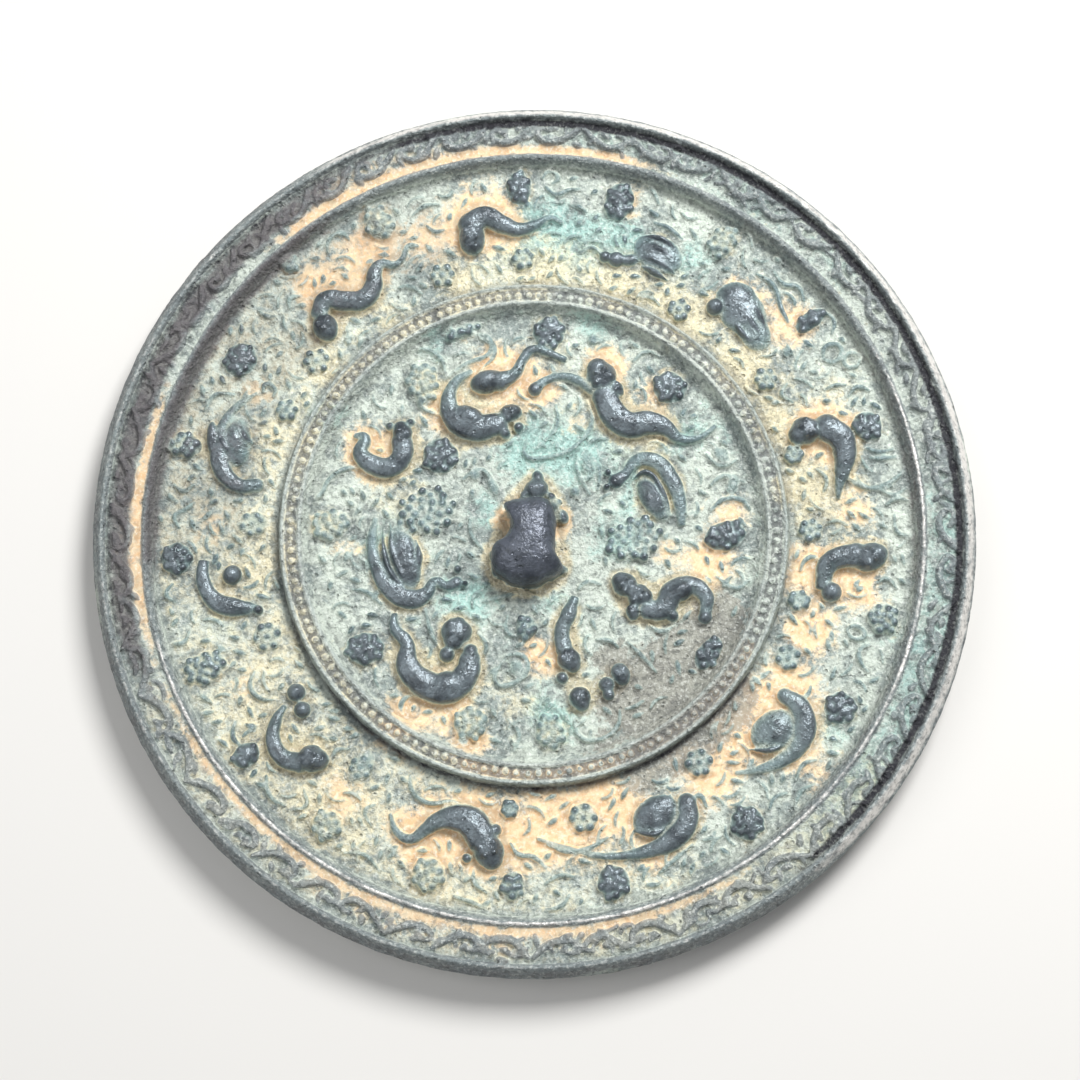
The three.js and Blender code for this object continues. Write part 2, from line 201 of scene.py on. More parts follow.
# The plate is drawn from one circle at the rim, ring by ring, over the back and then over the face
def turnPlate():
    rimRadius, rimEdgeHeight = backOutline[0]
    bpy.ops.mesh.primitive_circle_add(vertices=plate["sides"], radius=rimRadius * mm, fill_type="NOTHING")
    piece = bpy.context.object
    rimPoints = range(plate["sides"])
    bpy.ops.object.mode_set(mode="EDIT")
    bpy.ops.mesh.select_all(action="SELECT")
    bpy.ops.transform.translate(value=(0, 0, rimEdgeHeight * mm))
    for outline in (backOutline[1:], faceOutline):
        bpy.ops.mesh.select_all(action="DESELECT")
        bpy.ops.object.mode_set(mode="OBJECT")
        for index in rimPoints:
            piece.data.vertices[index].select = True
        bpy.ops.object.mode_set(mode="EDIT")
        lastRadius, lastHeight = backOutline[0]
        for radius, height in outline:
            share = radius / lastRadius
            bpy.ops.mesh.extrude_edges_move()
            bpy.ops.transform.resize(value=(share, share, 1), center_override=(0, 0, 0))
            bpy.ops.transform.translate(value=(0, 0, (height - lastHeight) * mm))
            lastRadius, lastHeight = radius, height
        bpy.ops.mesh.merge(type="CENTER")
    bpy.ops.mesh.select_all(action="SELECT")
    bpy.ops.mesh.normals_make_consistent(inside=False)
    bpy.ops.object.mode_set(mode="OBJECT")
    return piece


# One curve object with a spline for each stroke, made a mesh, pressed to its height and set on the
# ground. Strokes are lists of x, y and width in mm; the widest comes out as high as height.
def drawStrokes(strokes, height, widest, name, ground=fieldHeight, steps=6):
    bpy.ops.curve.primitive_bezier_curve_add(location=(0, 0, 0))
    piece = bpy.context.object
    piece.name = name
    curve = piece.data
    curve.splines.clear()
    curve.dimensions = "3D"
    curve.resolution_u = steps
    curve.bevel_depth = mm
    curve.bevel_resolution = 2
    curve.use_fill_caps = True
    for stroke in strokes:
        spline = curve.splines.new("BEZIER")
        spline.bezier_points.add(len(stroke) - 1)
        for point, (x, y, width) in zip(spline.bezier_points, stroke):
            point.co = (x * mm, y * mm, 0)
            point.radius = width / 2
            point.handle_left_type = "AUTO"
            point.handle_right_type = "AUTO"
    pick([piece])
    bpy.ops.object.convert(target="MESH")
    piece = bpy.context.object
    places = vertexPlaces(piece.data)
    radii = np.hypot(places[:, 0], places[:, 1]) / mm
    above = np.clip(places[:, 2] / mm / (widest / 2), 0, None)
    below = np.clip(places[:, 2] / mm, -relief["root"], 0)
    places[:, 2] = (ground(radii) + height * above ** relief["fullness"] + below) * mm
    setPlaces(piece.data, places)
    return piece


# Round forms are copies of one ball or one coarser bead, scaled and laid on the ground
def modelBall():
    bpy.ops.mesh.primitive_uv_sphere_add(segments=20, ring_count=12, radius=mm)
    ball = bpy.context.object
    bpy.ops.object.mode_set(mode="EDIT")
    bpy.ops.mesh.select_all(action="SELECT")
    bpy.ops.mesh.vertices_smooth(factor=0.3, repeat=2)
    bpy.ops.object.mode_set(mode="OBJECT")
    return ball


def modelBead():
    bpy.ops.mesh.primitive_ico_sphere_add(subdivisions=2, radius=mm)
    bead = bpy.context.object
    bpy.ops.object.mode_set(mode="EDIT")
    bpy.ops.mesh.select_all(action="SELECT")
    bpy.ops.mesh.vertices_smooth(factor=0.2, repeat=1)
    bpy.ops.object.mode_set(mode="OBJECT")
    return bead


def placed(x, y, z, sizes, turn=0.0):
    move = Matrix.Translation(Vector((x, y, z)) * mm)
    spin = Matrix.Rotation(math.radians(turn), 4, "Z")
    return move @ spin @ Matrix.Diagonal((*sizes, 1))


def mound(x, y, across, along, height, turn=0.0, lift=0.0):
    ground = float(fieldHeight(math.hypot(x, y))) + lift
    return copyAt(ball, placed(x, y, ground, (across / 2, along / 2, height), turn), "mound")


def spot(x, y, z, size, flat=1.0):
    return copyAt(bead, placed(x, y, z, (size / 2, size / 2, size / 2 * flat)), "spot")


# Grapes: a round heap with its berries set in a turning pattern, each by the angle leaves turn by
leafTurn = 137.5
grapes = {
    "height": 1.2,
    "berry": 1.5,
    "spacing": 1.5,
    "jitter": 0.1,
    "veilReach": 6.5,
}


def grape(x, y, across, along, turn, chance):
    pieces = [mound(x, y, across * 1.06, along * 1.06, grapes["height"] + 0.2, turn)]
    count = max(7, round(math.pi / 4 * across * along / grapes["spacing"] ** 2))
    ground = float(fieldHeight(math.hypot(x, y)))
    spin = math.radians(turn)
    start = chance.uniform(0, 2 * math.pi)
    for index in range(count):
        reach = math.sqrt((index + 0.4) / count) * 0.92
        angle = start + index * math.radians(leafTurn)
        px = reach * math.cos(angle) * across / 2 + chance.uniform(-1, 1) * grapes["jitter"]
        py = reach * math.sin(angle) * along / 2 + chance.uniform(-1, 1) * grapes["jitter"]
        bx = x + px * math.cos(spin) - py * math.sin(spin)
        by = y + px * math.sin(spin) + py * math.cos(spin)
        rise = grapes["height"] * math.sqrt(max(0.0, 1 - 0.8 * reach * reach)) + 0.1
        size = grapes["berry"] * chance.uniform(0.86, 1.1)
        pieces.append(spot(bx, by, ground + rise, size))
    return pieces


# Beasts and birds, spines as place and width from the tail to the head
innerBeasts = [
    [(-31.2, 24.8, 1), (-29.2, 24, 2.4), (-30.4, 21.2, 3.6), (-28.4, 18.4, 4.4), (-25, 17.4, 4.6),
     (-22.6, 19.4, 4.6),
     (-22.2, 22, 4.6)],
    [(12, 32.6, 1.4), (8.8, 34.6, 1.8), (5.8, 35.8, 2), (3.6, 34, 2.2), (1.6, 31.6, 2.8),
     (-1.6, 30.6, 4.4)],
    [(-6.4, 33.6, 1.2), (-10, 31.8, 2.4), (-12, 28.2, 3.8), (-11, 24.4, 5.4), (-7.4, 22.2, 6),
     (-3.4, 22.2, 5.2)],
    [(38.4, 14.6, 1), (34.6, 12.8, 1.6), (31, 13.4, 2.2), (28.6, 16, 4), (25.4, 17.4, 5.6),
     (21.8, 17.6, 6),
     (19.2, 20.4, 6), (18.2, 24, 5.6)],
    [(16.2, 25.6, 2.6), (13.8, 28, 2.2), (10.8, 29.4, 2), (7.4, 29.2, 1.8), (5.4, 28.2, 2.6)],
    [(-29, -11, 1.2), (-29.4, -13.6, 2.2), (-27.6, -17.2, 3.2), (-28, -21.6, 5.2), (-25, -25.8, 6.2),
     (-20.8, -27.2, 6.4), (-17, -24.6, 5.4), (-16.2, -22.4, 4.6)],
    [(29.8, -21.4, 2.6), (30.4, -18, 3.4), (28, -15.6, 4.4), (24.4, -16.2, 5.2), (21.8, -19, 5),
     (19, -18.6, 4.4)],
    [(5.8, -13.8, 1.8), (4, -16.8, 3.4), (2, -20.4, 3.4), (2, -23.6, 3.8)],
]

# Heads and masks: place, width, length and the way the muzzle points, in degrees
innerHeads = [
    (-21.8, 23.6, 4.8, 4.8, 100), (-0.6, 23.8, 4.6, 6, 15), (18.2, 28.2, 7.2, 7, 105),
    (20.6, 25.2, 3.6, 3.6, -60),
    (-17.8, -16.8, 7.2, 7, -115), (15.6, -13.2, 5.6, 6, 130), (17.8, -15.8, 5.6, 5.6, -20),
    (16.2, -18.4, 3.6, 3.4, -90),
    (2.5, -25.6, 5.4, 5.8, -70), (3.3, -33.2, 5, 5.2, -80), (11.7, -30, 4.4, 5.2, -80),
]
paws = [
    (-20.2, -20.6, 3.4), (-15.9, -20.8, 3.4), (0.7, -28.8, 2.6), (8.8, -31.6, 3.4),
    (8.8, -33.4, 2.6), (-2.2, 20.2, 2.4),
    (0.6, 21, 2.2), (5, 27.8, 2.8), (-24, 25.4, 1.8), (-20, 25.4, 1.8), (23.4, -20.6, 2.8),
    (29.6, -22, 2.8),
    (54.2, -21.4, 4.2), (-49.2, -26.4, 3.4), (-49.8, -23, 3.8), (-16.8, -55.2, 2.8), (-22.8, -59.4, 2),
    (23.2, 51.8, 2.4), (-58.6, 1.6, 4),
]

# Haunches, shoulders and the birds' bodies: place, size, height and turn
lobes = [
    (-8.4, 24.4, 7.2, 4.6, 3.7, -38), (-3.8, 30.9, 7.4, 5, 3.4, 5), (25.6, -16.2, 7.4, 4.4, 3.4, 12),
    (-21.6, -26.6, 8, 6, 3.4, 10), (33.5, 50.6, 11, 7.8, 1.7, -38), (25.2, 51, 3.6, 3.2, 2, 0),
    (27.8, 50.4, 4.6, 2.6, 1.4, -8),
    (47.6, 36.4, 9, 12.4, 1.9, 30), (47, 38.8, 8.8, 7.6, 2.1, -14), (49.2, 32, 6.4, 9.4, 1.7, 14),
    (42.6, 38, 3.6, 3.6, 2.6, 0),
    (-25.4, -0.6, 6.4, 14, 2.2, 4), (24, 2.6, 5.4, 10.6, 2.1, 18), (-54.2, 27.6, 7, 11, 1.9, -10),
    (13.6, -57.6, 10, 7.4, 2.2, 25), (38.8, -45.8, 10.6, 8.4, 2.2, 20), (-58.4, 29, 2.4, 7, 2.2, -8),
]
innerBirds = [
    [(-29.6, 8, 1.2), (-31, 3.4, 2.6), (-30.6, -2.4, 3.4), (-28.4, -7, 4.2), (-24.8, -9, 4.2),
     (-22, -8, 3),
     (-20.2, -6.2, 2), (-18.4, -7.4, 2), (-16.2, -7.2, 2.6)],
    [(28.4, -3.6, 1.6), (28.8, 0.6, 3), (28, 5.6, 3.8), (25.4, 9.8, 3.6), (22, 10.4, 3),
     (19.6, 8.4, 2.2),
     (17.4, 7.2, 3.2)],
]

# The feathers of the wings stand as thin ridges
feathers = [
    [(-28.6, 5.5), (-29, 1), (-28, -4), (-25.8, -7)],
    [(-27, 6.6), (-27.4, 1), (-26.4, -3.6), (-25, -6.4)],
    [(-25.4, 6.4), (-25.6, 1), (-25, -3.6)], [(-24, 5), (-24, 0.6), (-23.8, -4)],
    [(-22.6, 2.6), (-22.4, -1), (-23, -4)],
    [(20.6, 7), (23.4, 7.8), (25.8, 4), (26.8, -1.8)], [(21, 5.4), (23.2, 5.4), (24.8, 2), (26, -2.6)],
    [(21.6, 3.8), (23, 2.8), (24.6, -1.4)], [(30.4, 54.6), (34.5, 53.4), (38, 49.4)],
    [(29.4, 53), (33.4, 51.6), (37.6, 47.2)], [(29, 51), (32.4, 49.4), (36.4, 45.6)],
    [(29.6, 48.8), (32, 47), (34.6, 44.8)],
    [(45, 36), (46.6, 32), (49.4, 28.4)], [(47.2, 38), (49.2, 33), (51.8, 29)],
    [(49.4, 38.4), (50.8, 34.6), (51.6, 31)],
    [(-56.6, 31.6), (-56.4, 27.4), (-53.4, 23)], [(-54.2, 32.4), (-54, 28), (-51.8, 25)],
    [(-52.4, 31), (-52, 28), (-50.6, 26.4)],
    [(9.6, -57), (13.2, -58.8), (17, -56.4)], [(11, -54.8), (14.4, -56.2), (17.2, -54)],
    [(8.6, -59.6), (12.6, -61), (16, -59.6)],
    [(34.4, -45.8), (38.4, -47), (42.4, -44.8)], [(36, -43.2), (39, -44.2), (42.2, -42.2)],
    [(33, -48.2), (37, -49.2), (42, -47.6)],
]
crests = [
    (-15.6, -4.6, 1.5), (-14.6, -7.6, 1.2), (16.2, 9.2, 1.3), (15.4, 6.4, 1.3),
    (-54.6, -6, 2), (-24, -9.6, 1.2),
]
innerFans = [(-19.6, 7.6, 11.6, 9.4, -8), (19, -4.6, 11, 8.2, 10)]
innerGrapes = [
    (-38.5, 8.2, 8, 6, 0), (-15.3, 18, 7, 7, 0), (-16.3, 33, 6.5, 9, 0), (9.7, 38.7, 6.5, 6.5, 0),
    (31, 23.7, 6.5, 6.5, 0), (36.3, -7, 8.3, 5.7, 8), (-35.8, -16.8, 7.7, 6.3, 0),
    (-18, -34.3, 6.7, 6.7, 0),
    (-3.3, -38.7, 5.7, 7.3, 0), (29, -29, 7.3, 4.3, 45), (-7, 42, 8, 3, 10), (-4.5, -18, 4, 5, 0),
]
innerLeaves = [
    (-9.3, 13.3, 2.6, 2.6, 0), (-6.2, 10.3, 2, 4.4, 15), (12.7, 11.7, 3, 7.5, 5),
    (9.2, 6.5, 2.4, 2.4, 0),
    (18, 35.7, 2.6, 2.6, 0), (38.4, 8.6, 2.6, 5, 30), (39.6, 2.6, 2.6, 5, -20),
    (-20, -37.8, 2.6, 2.6, 0),
    (-7.5, -25.6, 3.4, 4.4, 20),
]

# Outer field, by angle and by share of the way out to the band
outerBeasts = [
    [(75, 0.52, 1), (77.4, 0.55, 1.6), (80, 0.49, 2.4), (83, 0.46, 3.2), (86, 0.51, 4.2),
     (89, 0.58, 5.2),
     (91.6, 0.54, 5.6)],
    [(101.8, 0.5, 0.8), (103.6, 0.53, 1.2), (105.4, 0.46, 1.4), (107.4, 0.44, 1.6), (109.4, 0.49, 2.2),
     (111.2, 0.46, 3.4), (113, 0.37, 4.2), (116, 0.33, 4.6), (119, 0.4, 4.6), (121.8, 0.5, 4.4),
     (124, 0.46, 4)],
    [(205.6, 0.36, 1.2), (207, 0.48, 2.6), (210, 0.59, 3.4), (212.8, 0.6, 3.8), (215.4, 0.54, 4.4)],
    [(233.6, 0.45, 0.8), (236.2, 0.55, 1.6), (238.8, 0.56, 2.2), (240.6, 0.46, 2.8), (242.6, 0.36, 4),
     (245.4, 0.31, 5.6), (248.4, 0.32, 6.6), (251, 0.42, 6.6)],
    [(338.6, 0.3, 3), (340.8, 0.3, 3.6), (343.4, 0.31, 4.4), (345.2, 0.4, 4.8), (345.8, 0.52, 5.4)],
    [(-3.6, 0.4, 1), (-1.4, 0.42, 2), (1, 0.46, 3.4), (4, 0.51, 4.8), (7.2, 0.52, 5.8), (9.8, 0.45, 6)],
]
outerHeads = [
    (91.9, 0.44, 6.2, 8.6, -98), (125.2, 0.35, 5.8, 6.6, -70), (216.4, 0.46, 6.4, 6.4, -20),
    (252.5, 0.5, 7, 7.6, -80), (345.7, 0.62, 6.4, 8.6, 12), (10.8, 0.29, 6.8, 6.6, 205),
]
outerBirds = [
    [(143, 0.46, 0.8), (147, 0.55, 1.8), (151, 0.58, 3), (155, 0.56, 4), (158.6, 0.5, 4),
     (161, 0.36, 3.2),
     (160.4, 0.22, 3)],
    [(175.2, 0.58, 2.2), (178, 0.6, 2.8), (180.6, 0.58, 3.4), (183, 0.52, 4), (184.4, 0.42, 4.2),
     (185.4, 0.3, 2.8),
     (185.8, 0.23, 1)],
    [(261, 0.39, 0.8), (266, 0.46, 1), (271, 0.55, 1.2), (276, 0.6, 1.8), (281, 0.62, 3.4),
     (285, 0.6, 5),
     (288, 0.53, 4.6), (289.4, 0.42, 4)],
    [(299.6, 0.44, 0.8), (303, 0.53, 1.6), (306.8, 0.6, 3), (310.6, 0.63, 4), (314, 0.58, 5),
     (316.4, 0.46, 4.6),
     (316.6, 0.34, 3.4)],
]
outerGrapes = [
    (8, 0.74, 5.8, 5.8), (28, 0.76, 3.4, 7), (47.5, 0.77, 5.4, 7.5), (66, 0.76, 5.8, 8),
    (82.7, 0.79, 5, 7),
    (106.5, 0.79, 6, 7.5), (122, 0.9, 4, 4), (139.4, 0.7, 7, 6.5), (156, 0.83, 5, 7.5),
    (174.5, 0.78, 6.2, 6.2), (193, 0.75, 6, 9), (208.5, 0.8, 4.5, 6), (225.5, 0.76, 6, 6),
    (243.5, 0.76, 6.6, 6.6), (257, 0.73, 4.5, 5.5), (273, 0.77, 6.2, 6.6), (296, 0.78, 6.6, 6.6),
    (319.8, 0.73, 6.4, 6.2), (336, 0.78, 6.2, 6),
]
outerRosettes = [
    (7, 0.15, 4, 4), (24, 0.22, 5, 5), (47.5, 0.15, 5, 5), (82.5, 0.23, 4.8, 4.8),
    (99.5, 0.22, 5.4, 5.4),
    (131.5, 0.22, 6, 5), (143.5, 0.2, 4.8, 4.8), (168.5, 0.22, 5.4, 7), (192, 0.24, 6.2, 6.2),
    (224.5, 0.28, 5, 8), (255.5, 0.18, 3.5, 3.5), (270, 0.27, 6.2, 6.2), (295.5, 0.22, 6, 6),
    (323.5, 0.22, 5.5, 5.5), (335.5, 0.15, 4.5, 4.5), (350.5, 0.18, 5, 5),
]

# Vines of both fields
innerVines = [
    [(-5.3, 33), (-1.3, 37.3), (-4, 40)],
    [(-11.7, 33.6), (-12, 37), (-15, 39.7), (-19.3, 39.7)],
    [(10.7, 43.2), (13, 42.5), (15.3, 40.7)],
    [(13, 14.6), (14.6, 16), (17.3, 15.7)],
    [(34.3, -1.7), (37.3, 0), (40.7, -0.7), (42, -3)],
    [(-12, -11.7), (-7.7, -11.3), (-3.7, -11.3), (-1, -12.9)],
    [(-11, -34.7), (-9.3, -38), (-11, -41.3)],
    [(6.3, -12.7), (8.3, -11.3), (11.3, -12.3)],
    [(11.3, -36.7), (13, -36.6), (15.3, -35.7)],
    [(-26.3, -28), (-29, -27.3), (-30.7, -29), (-30.3, -31.3)],
    [(18.6, -21.4), (20.8, -23.2), (23.6, -22.6)],
    [(-30, 18.2), (-34, 18.6), (-37.4, 17), (-39.4, 14.4), (-42, 13.6)],
    [(3, 16), (8, 20), (8.6, 24.4)],
    [(2, 18.6), (1, 15.4), (5, 14.2), (11, 15.4), (15, 20), (14.6, 24)],
    [(-12, 33), (-7, 35.4), (-2.6, 36.6), (-2, 39.4), (-5.6, 41)],
    [(-14, 26), (-17.6, 28.6), (-17.4, 31)], [(12, 5.4), (10.4, 11), (11.2, 14)],
    [(13.6, 6), (14.6, 10), (13.4, 13.6)],
    [(1.6, -36), (2, -40.4), (6, -41.6), (9.6, -39.4), (10.4, -36.6)],
    [(8, -22.6), (10.6, -23.2), (12.4, -25)],
    [(-9, -22.6), (-6, -23.4), (-5.6, -26), (-9.4, -28.4), (-12, -27.6), (-9, -22.6)],
    [(-7.6, -15), (-8.2, -18.4), (-5.6, -19.6)],
    [(-23, -11), (-22.6, -16), (-21, -20)], [(-31, -9), (-33.6, -6), (-36.4, -5)],
    [(-14, -17.4), (-12.6, -20), (-13.4, -22)],
    [(35.4, 9.6), (38, 6.6), (41.6, 7.4)], [(35, 3), (38, 4.6), (42, 2.6)],
    [(-38, -24), (-35, -27), (-32, -31)],
    [(-39, 22), (-36, 25), (-36.4, 28)], [(14, -24), (16.6, -27.6), (18.6, -31)],
    [(33, -14.4), (36.4, -17.4), (40, -16)],
    [(-10, -2), (-12, 2), (-11.6, 5)], [(24.6, 30), (28, 31.6), (30.4, 30)],
    [(-6, 10.6), (-8, 14), (-12, 12.6)],
]
outerVines = [
    [(63, 0.95), (61.4, 0.92), (59.6, 0.82)],
    [(78.4, 0.8), (76.6, 0.74), (74.6, 0.78), (72.6, 0.8)],
    [(59.4, 0.68), (56.6, 0.68), (53.4, 0.64)],
    [(74, 0.66), (72.4, 0.66), (70.8, 0.62)],
    [(101, 0.74), (98.6, 0.78), (96, 0.76)],
    [(109, 0.27), (107, 0.25), (104.8, 0.14)],
    [(131, 0.82), (130.8, 0.74), (129.8, 0.68)],
    [(233.6, 0.13), (235.4, 0.23), (239.4, 0.27), (243.4, 0.21), (247.4, 0.2)],
    [(250.4, 0.64), (251, 0.74), (253.2, 0.8)],
    [(256, 0.42), (257.6, 0.5), (260.4, 0.52), (262.4, 0.6)],
    [(262.6, 0.43), (266, 0.49), (270, 0.49), (274, 0.44)],
    [(290.2, 0.42), (292, 0.42), (292, 0.52)],
    [(341.6, 0.12), (343.8, 0.14), (345, 0.2), (343.8, 0.26)],
    [(0.6, 0.55), (-1.8, 0.6), (-2.6, 0.7), (-2.6, 0.82)],
    [(353, 0.8), (350, 0.82), (349.4, 0.94)],
    [(30, 0.62), (33, 0.66), (36.6, 0.74), (40, 0.72)],
    [(28, 0.88), (25.8, 0.9), (24, 0.82)],
    [(21.5, 0.66), (20, 0.72), (21.4, 0.82), (23, 0.74), (21.5, 0.66)],
    [(18.8, 0.92), (17.6, 0.84), (19, 0.78), (20, 0.86), (18.8, 0.92)],
    [(16.5, 0.55), (16.4, 0.64), (15.6, 0.72)],
    [(13.6, 0.68), (14.6, 0.78), (13.2, 0.86)], [(4.6, 0.68), (3.4, 0.76), (3.2, 0.88)],
    [(2.8, 0.68), (2.2, 0.78), (2, 0.88)],
    [(79, 0.86), (77.8, 0.92), (76.4, 0.86), (77.4, 0.82)], [(99.4, 0.64), (98, 0.56), (96.4, 0.56)],
    [(96, 0.84), (94.4, 0.8), (93.4, 0.84)], [(142.4, 0.34), (140.8, 0.36), (141, 0.44), (142.6, 0.42)],
    [(162, 0.68), (163.4, 0.76), (162.4, 0.84)],
    [(165, 0.66), (166.4, 0.72), (167.6, 0.8), (169.6, 0.76)],
    [(197, 0.42), (199, 0.5), (202, 0.48), (203.6, 0.4)], [(203, 0.72), (205, 0.8), (207.4, 0.78)],
    [(262, 0.72), (264.4, 0.66), (267, 0.68)], [(280, 0.8), (283, 0.75), (287, 0.7)],
    [(317.6, 0.42), (319, 0.47), (320.8, 0.46)],
    [(300, 0.8), (302, 0.76), (304, 0.8)], [(303, 0.92), (305.4, 0.86), (308, 0.9)],
    [(306, 0.78), (309, 0.74), (311, 0.8)],
    [(327, 0.8), (328, 0.72), (330, 0.68), (331.4, 0.74)],
    [(332.5, 0.54), (333.6, 0.6), (332.4, 0.68), (331.4, 0.6), (332.5, 0.54)],
    [(341.5, 0.68), (342.4, 0.76), (341, 0.84)], [(354.5, 0.74), (355.4, 0.84), (354.6, 0.94)],
    [(357, 0.72), (356, 0.82), (357, 0.92)],
    [(84, 0.2), (82, 0.28), (80, 0.26)], [(38, 0.82), (35.4, 0.8), (33.4, 0.86), (31, 0.82)],
    [(43, 0.86), (45, 0.94), (48, 0.96)],
    [(116.4, 0.78), (115, 0.86), (112.6, 0.86), (112, 0.78)],
    [(127.4, 0.64), (126, 0.7), (124.4, 0.66)],
    [(145, 0.6), (146.6, 0.74), (149.6, 0.76)], [(178.4, 0.82), (180, 0.88), (181.6, 0.82)],
    [(186.4, 0.76), (188, 0.84), (187.4, 0.94)],
    [(213, 0.78), (215.6, 0.86), (218.6, 0.84)], [(219, 0.66), (221, 0.74), (219.8, 0.82)],
    [(230, 0.86), (233, 0.8), (236.4, 0.86)],
    [(248, 0.86), (251, 0.88), (254, 0.92)], [(266, 0.8), (264.4, 0.88), (262, 0.9)],
    [(277.6, 0.9), (279.6, 0.94), (282, 0.9)],
    [(66, 0.3), (68.6, 0.36), (71.4, 0.3)], [(71, 0.44), (73, 0.42), (74.6, 0.36)],
    [(17, 0.3), (19.6, 0.26), (21, 0.34)],
    [(358, 0.3), (0.4, 0.34), (3, 0.28)],
    [(1.4, 0.44), (-1, 0.54), (-2.4, 0.64), (-2, 0.78), (-0.4, 0.92)],
    [(232, 0.6), (229.6, 0.52), (230.6, 0.44)], [(220, 0.4), (218.6, 0.3), (220.4, 0.22)],
]

relief = {
    "root": 0.6,
    "fullness": 0.65,             # under 1 gives steep sides and a fuller back
    "beastHeight": 3.0,
    "beastWidest": 5.8,
    "birdHeight": 2.2,
    "birdWidest": 5.0,
    "headHeight": 3.3,
    "pawHeight": 2.4,
    "featherWidth": 1.05,
    "featherTip": 0.15,
    "featherHeight": 2.4,
    "crestHeight": 2.0,
    "fanHeight": 1.0,
    "rosetteHeight": 1.0,
    "leafHeight": 1.1,
    "vineWidth": 1.1,
    "vineHeight": 0.95,
}


def outerSpine(points):
    return [(*onPlate(angle, share), *rest) for angle, share, *rest in points]


def innerSpine(points):
    return [tuple(point) for point in points]


def widened(points, width, tip=0.55):
    # the ends taper to a share of the width
    last = len(points) - 1
    return [(x, y, width * (tip if index in (0, last) else 1)) for index, (x, y) in enumerate(points)]


def pairs(points, place):
    return [place(*point) for point in points]


def inPlace(x, y):
    return x, y


# Parts of a head, as reach and size in shares of its width, and height in shares of its own
headParts = [                     # reach, angle off the muzzle, size, height
    (0.2, 0, 0.68, 0.94), (0.34, 0, 0.3, 0.85), (0.16, 58, 0.26, 1.2), (0.16, -58, 0.26, 1.2),
    (0.25, 128, 0.34, 1.04), (0.25, -128, 0.34, 1.04), (0.2, 180, 0.5, 0.95),
]


def carveHead(x, y, across, along, facing):
    height = relief["headHeight"] * min(1, (across / 6) ** 0.6)
    pieces = [mound(x, y, along * 0.88, across * 0.9, height, facing)]
    for reach, angle, size, share in headParts:
        turn = math.radians(facing + angle)
        px = x + reach * across * math.cos(turn)
        py = y + reach * across * math.sin(turn)
        pieces.append(mound(px, py, size * across, size * across, height * share, facing))
    return pieces


# The open end of a body is closed by a mound as wide and as high as the body is there
def roundedEnds(spines, height, widest):
    pieces = []
    for spine in spines:
        x, y, width = spine[-1]
        pieces.append(mound(x, y, width, width, height * (width / widest) ** relief["fullness"]))
    return pieces


# Beasts, birds, heads, wings and the larger fruit of both fields
def carveFigures():
    beasts = [innerSpine(points) for points in innerBeasts] + [outerSpine(points) for points in outerBeasts]
    birds = [innerSpine(points) for points in innerBirds] + [outerSpine(points) for points in outerBirds]
    ridges = [widened(points, relief["featherWidth"], relief["featherTip"]) for points in feathers]
    pieces = [
        drawStrokes(beasts, relief["beastHeight"], relief["beastWidest"], "beasts"),
        drawStrokes(birds, relief["birdHeight"], relief["birdWidest"], "birds"),
        drawStrokes(ridges, relief["featherHeight"], relief["featherWidth"], "feathers"),
    ]
    pieces += roundedEnds(beasts, relief["beastHeight"], relief["beastWidest"])
    pieces += roundedEnds(birds, relief["birdHeight"], relief["birdWidest"])
    heads = list(innerHeads) + [(*onPlate(angle, share), *rest) for angle, share, *rest in outerHeads]
    for head in heads:
        pieces += carveHead(*head)
    for x, y, across, along, height, turn in lobes:
        pieces.append(mound(x, y, across, along, height, turn))
    for x, y, size in paws:
        pieces.append(mound(x, y, size, size, relief["pawHeight"] * (size / 3) ** 0.5))
    for x, y, size in crests:
        pieces.append(mound(x, y, size, size, relief["crestHeight"]))
    for x, y, across, along, turn in innerFans:
        pieces.append(mound(x, y, across, along, relief["fanHeight"], turn))
    for x, y, across, along, turn in innerLeaves:
        pieces.append(mound(x, y, across, along, relief["leafHeight"], turn))
    for angle, share, across, outwards in outerRosettes:
        x, y = onPlate(angle, share)
        pieces.append(mound(x, y, outwards, across, relief["rosetteHeight"], angle))
    return pieces


def carveGrapes():
    chance = random.Random(5)
    pieces = []
    for x, y, across, along, turn in innerGrapes:
        pieces += grape(x, y, across, along, turn, chance)
    for angle, share, across, outwards in outerGrapes:
        x, y = onPlate(angle, share)
        pieces += grape(x, y, outwards, across, angle, chance)
    return pieces


# Berries of the low rosettes and the fan tails
dots = {
    "sizes": (0.8, 1.1),          # smallest and largest share
    "rosetteReach": 0.34,
    "rosetteRise": 0.75,
    "rosetteSize": 1.5,
    "fanCount": 26,
    "fanRise": 0.8,
    "fanSize": 1.7,
}


def carveDots():
    chance = random.Random(8)
    pieces = []
    for angle, share, across, outwards in outerRosettes:
        x, y = onPlate(angle, share)
        ground = float(fieldHeight(math.hypot(x, y)))
        for index in range(7):        # six round one
            turn = index * math.radians(60) + chance.uniform(-0.2, 0.2)
            reach = 0 if index == 6 else dots["rosetteReach"] * across
            size = dots["rosetteSize"] * chance.uniform(*dots["sizes"])
            px, py = x + reach * math.cos(turn), y + reach * math.sin(turn)
            pieces.append(spot(px, py, ground + dots["rosetteRise"], size))
    for x, y, across, along, turn in innerFans:
        for index in range(dots["fanCount"]):
            reach = 0.5 * math.sqrt((index + 0.5) / dots["fanCount"])
            angle = index * math.radians(leafTurn)
            px, py = x + reach * across * math.cos(angle), y + reach * along * math.sin(angle)
            ground = float(fieldHeight(math.hypot(px, py)))
            size = dots["fanSize"] * chance.uniform(*dots["sizes"])
            pieces.append(spot(px, py, ground + dots["fanRise"], size))
    return pieces


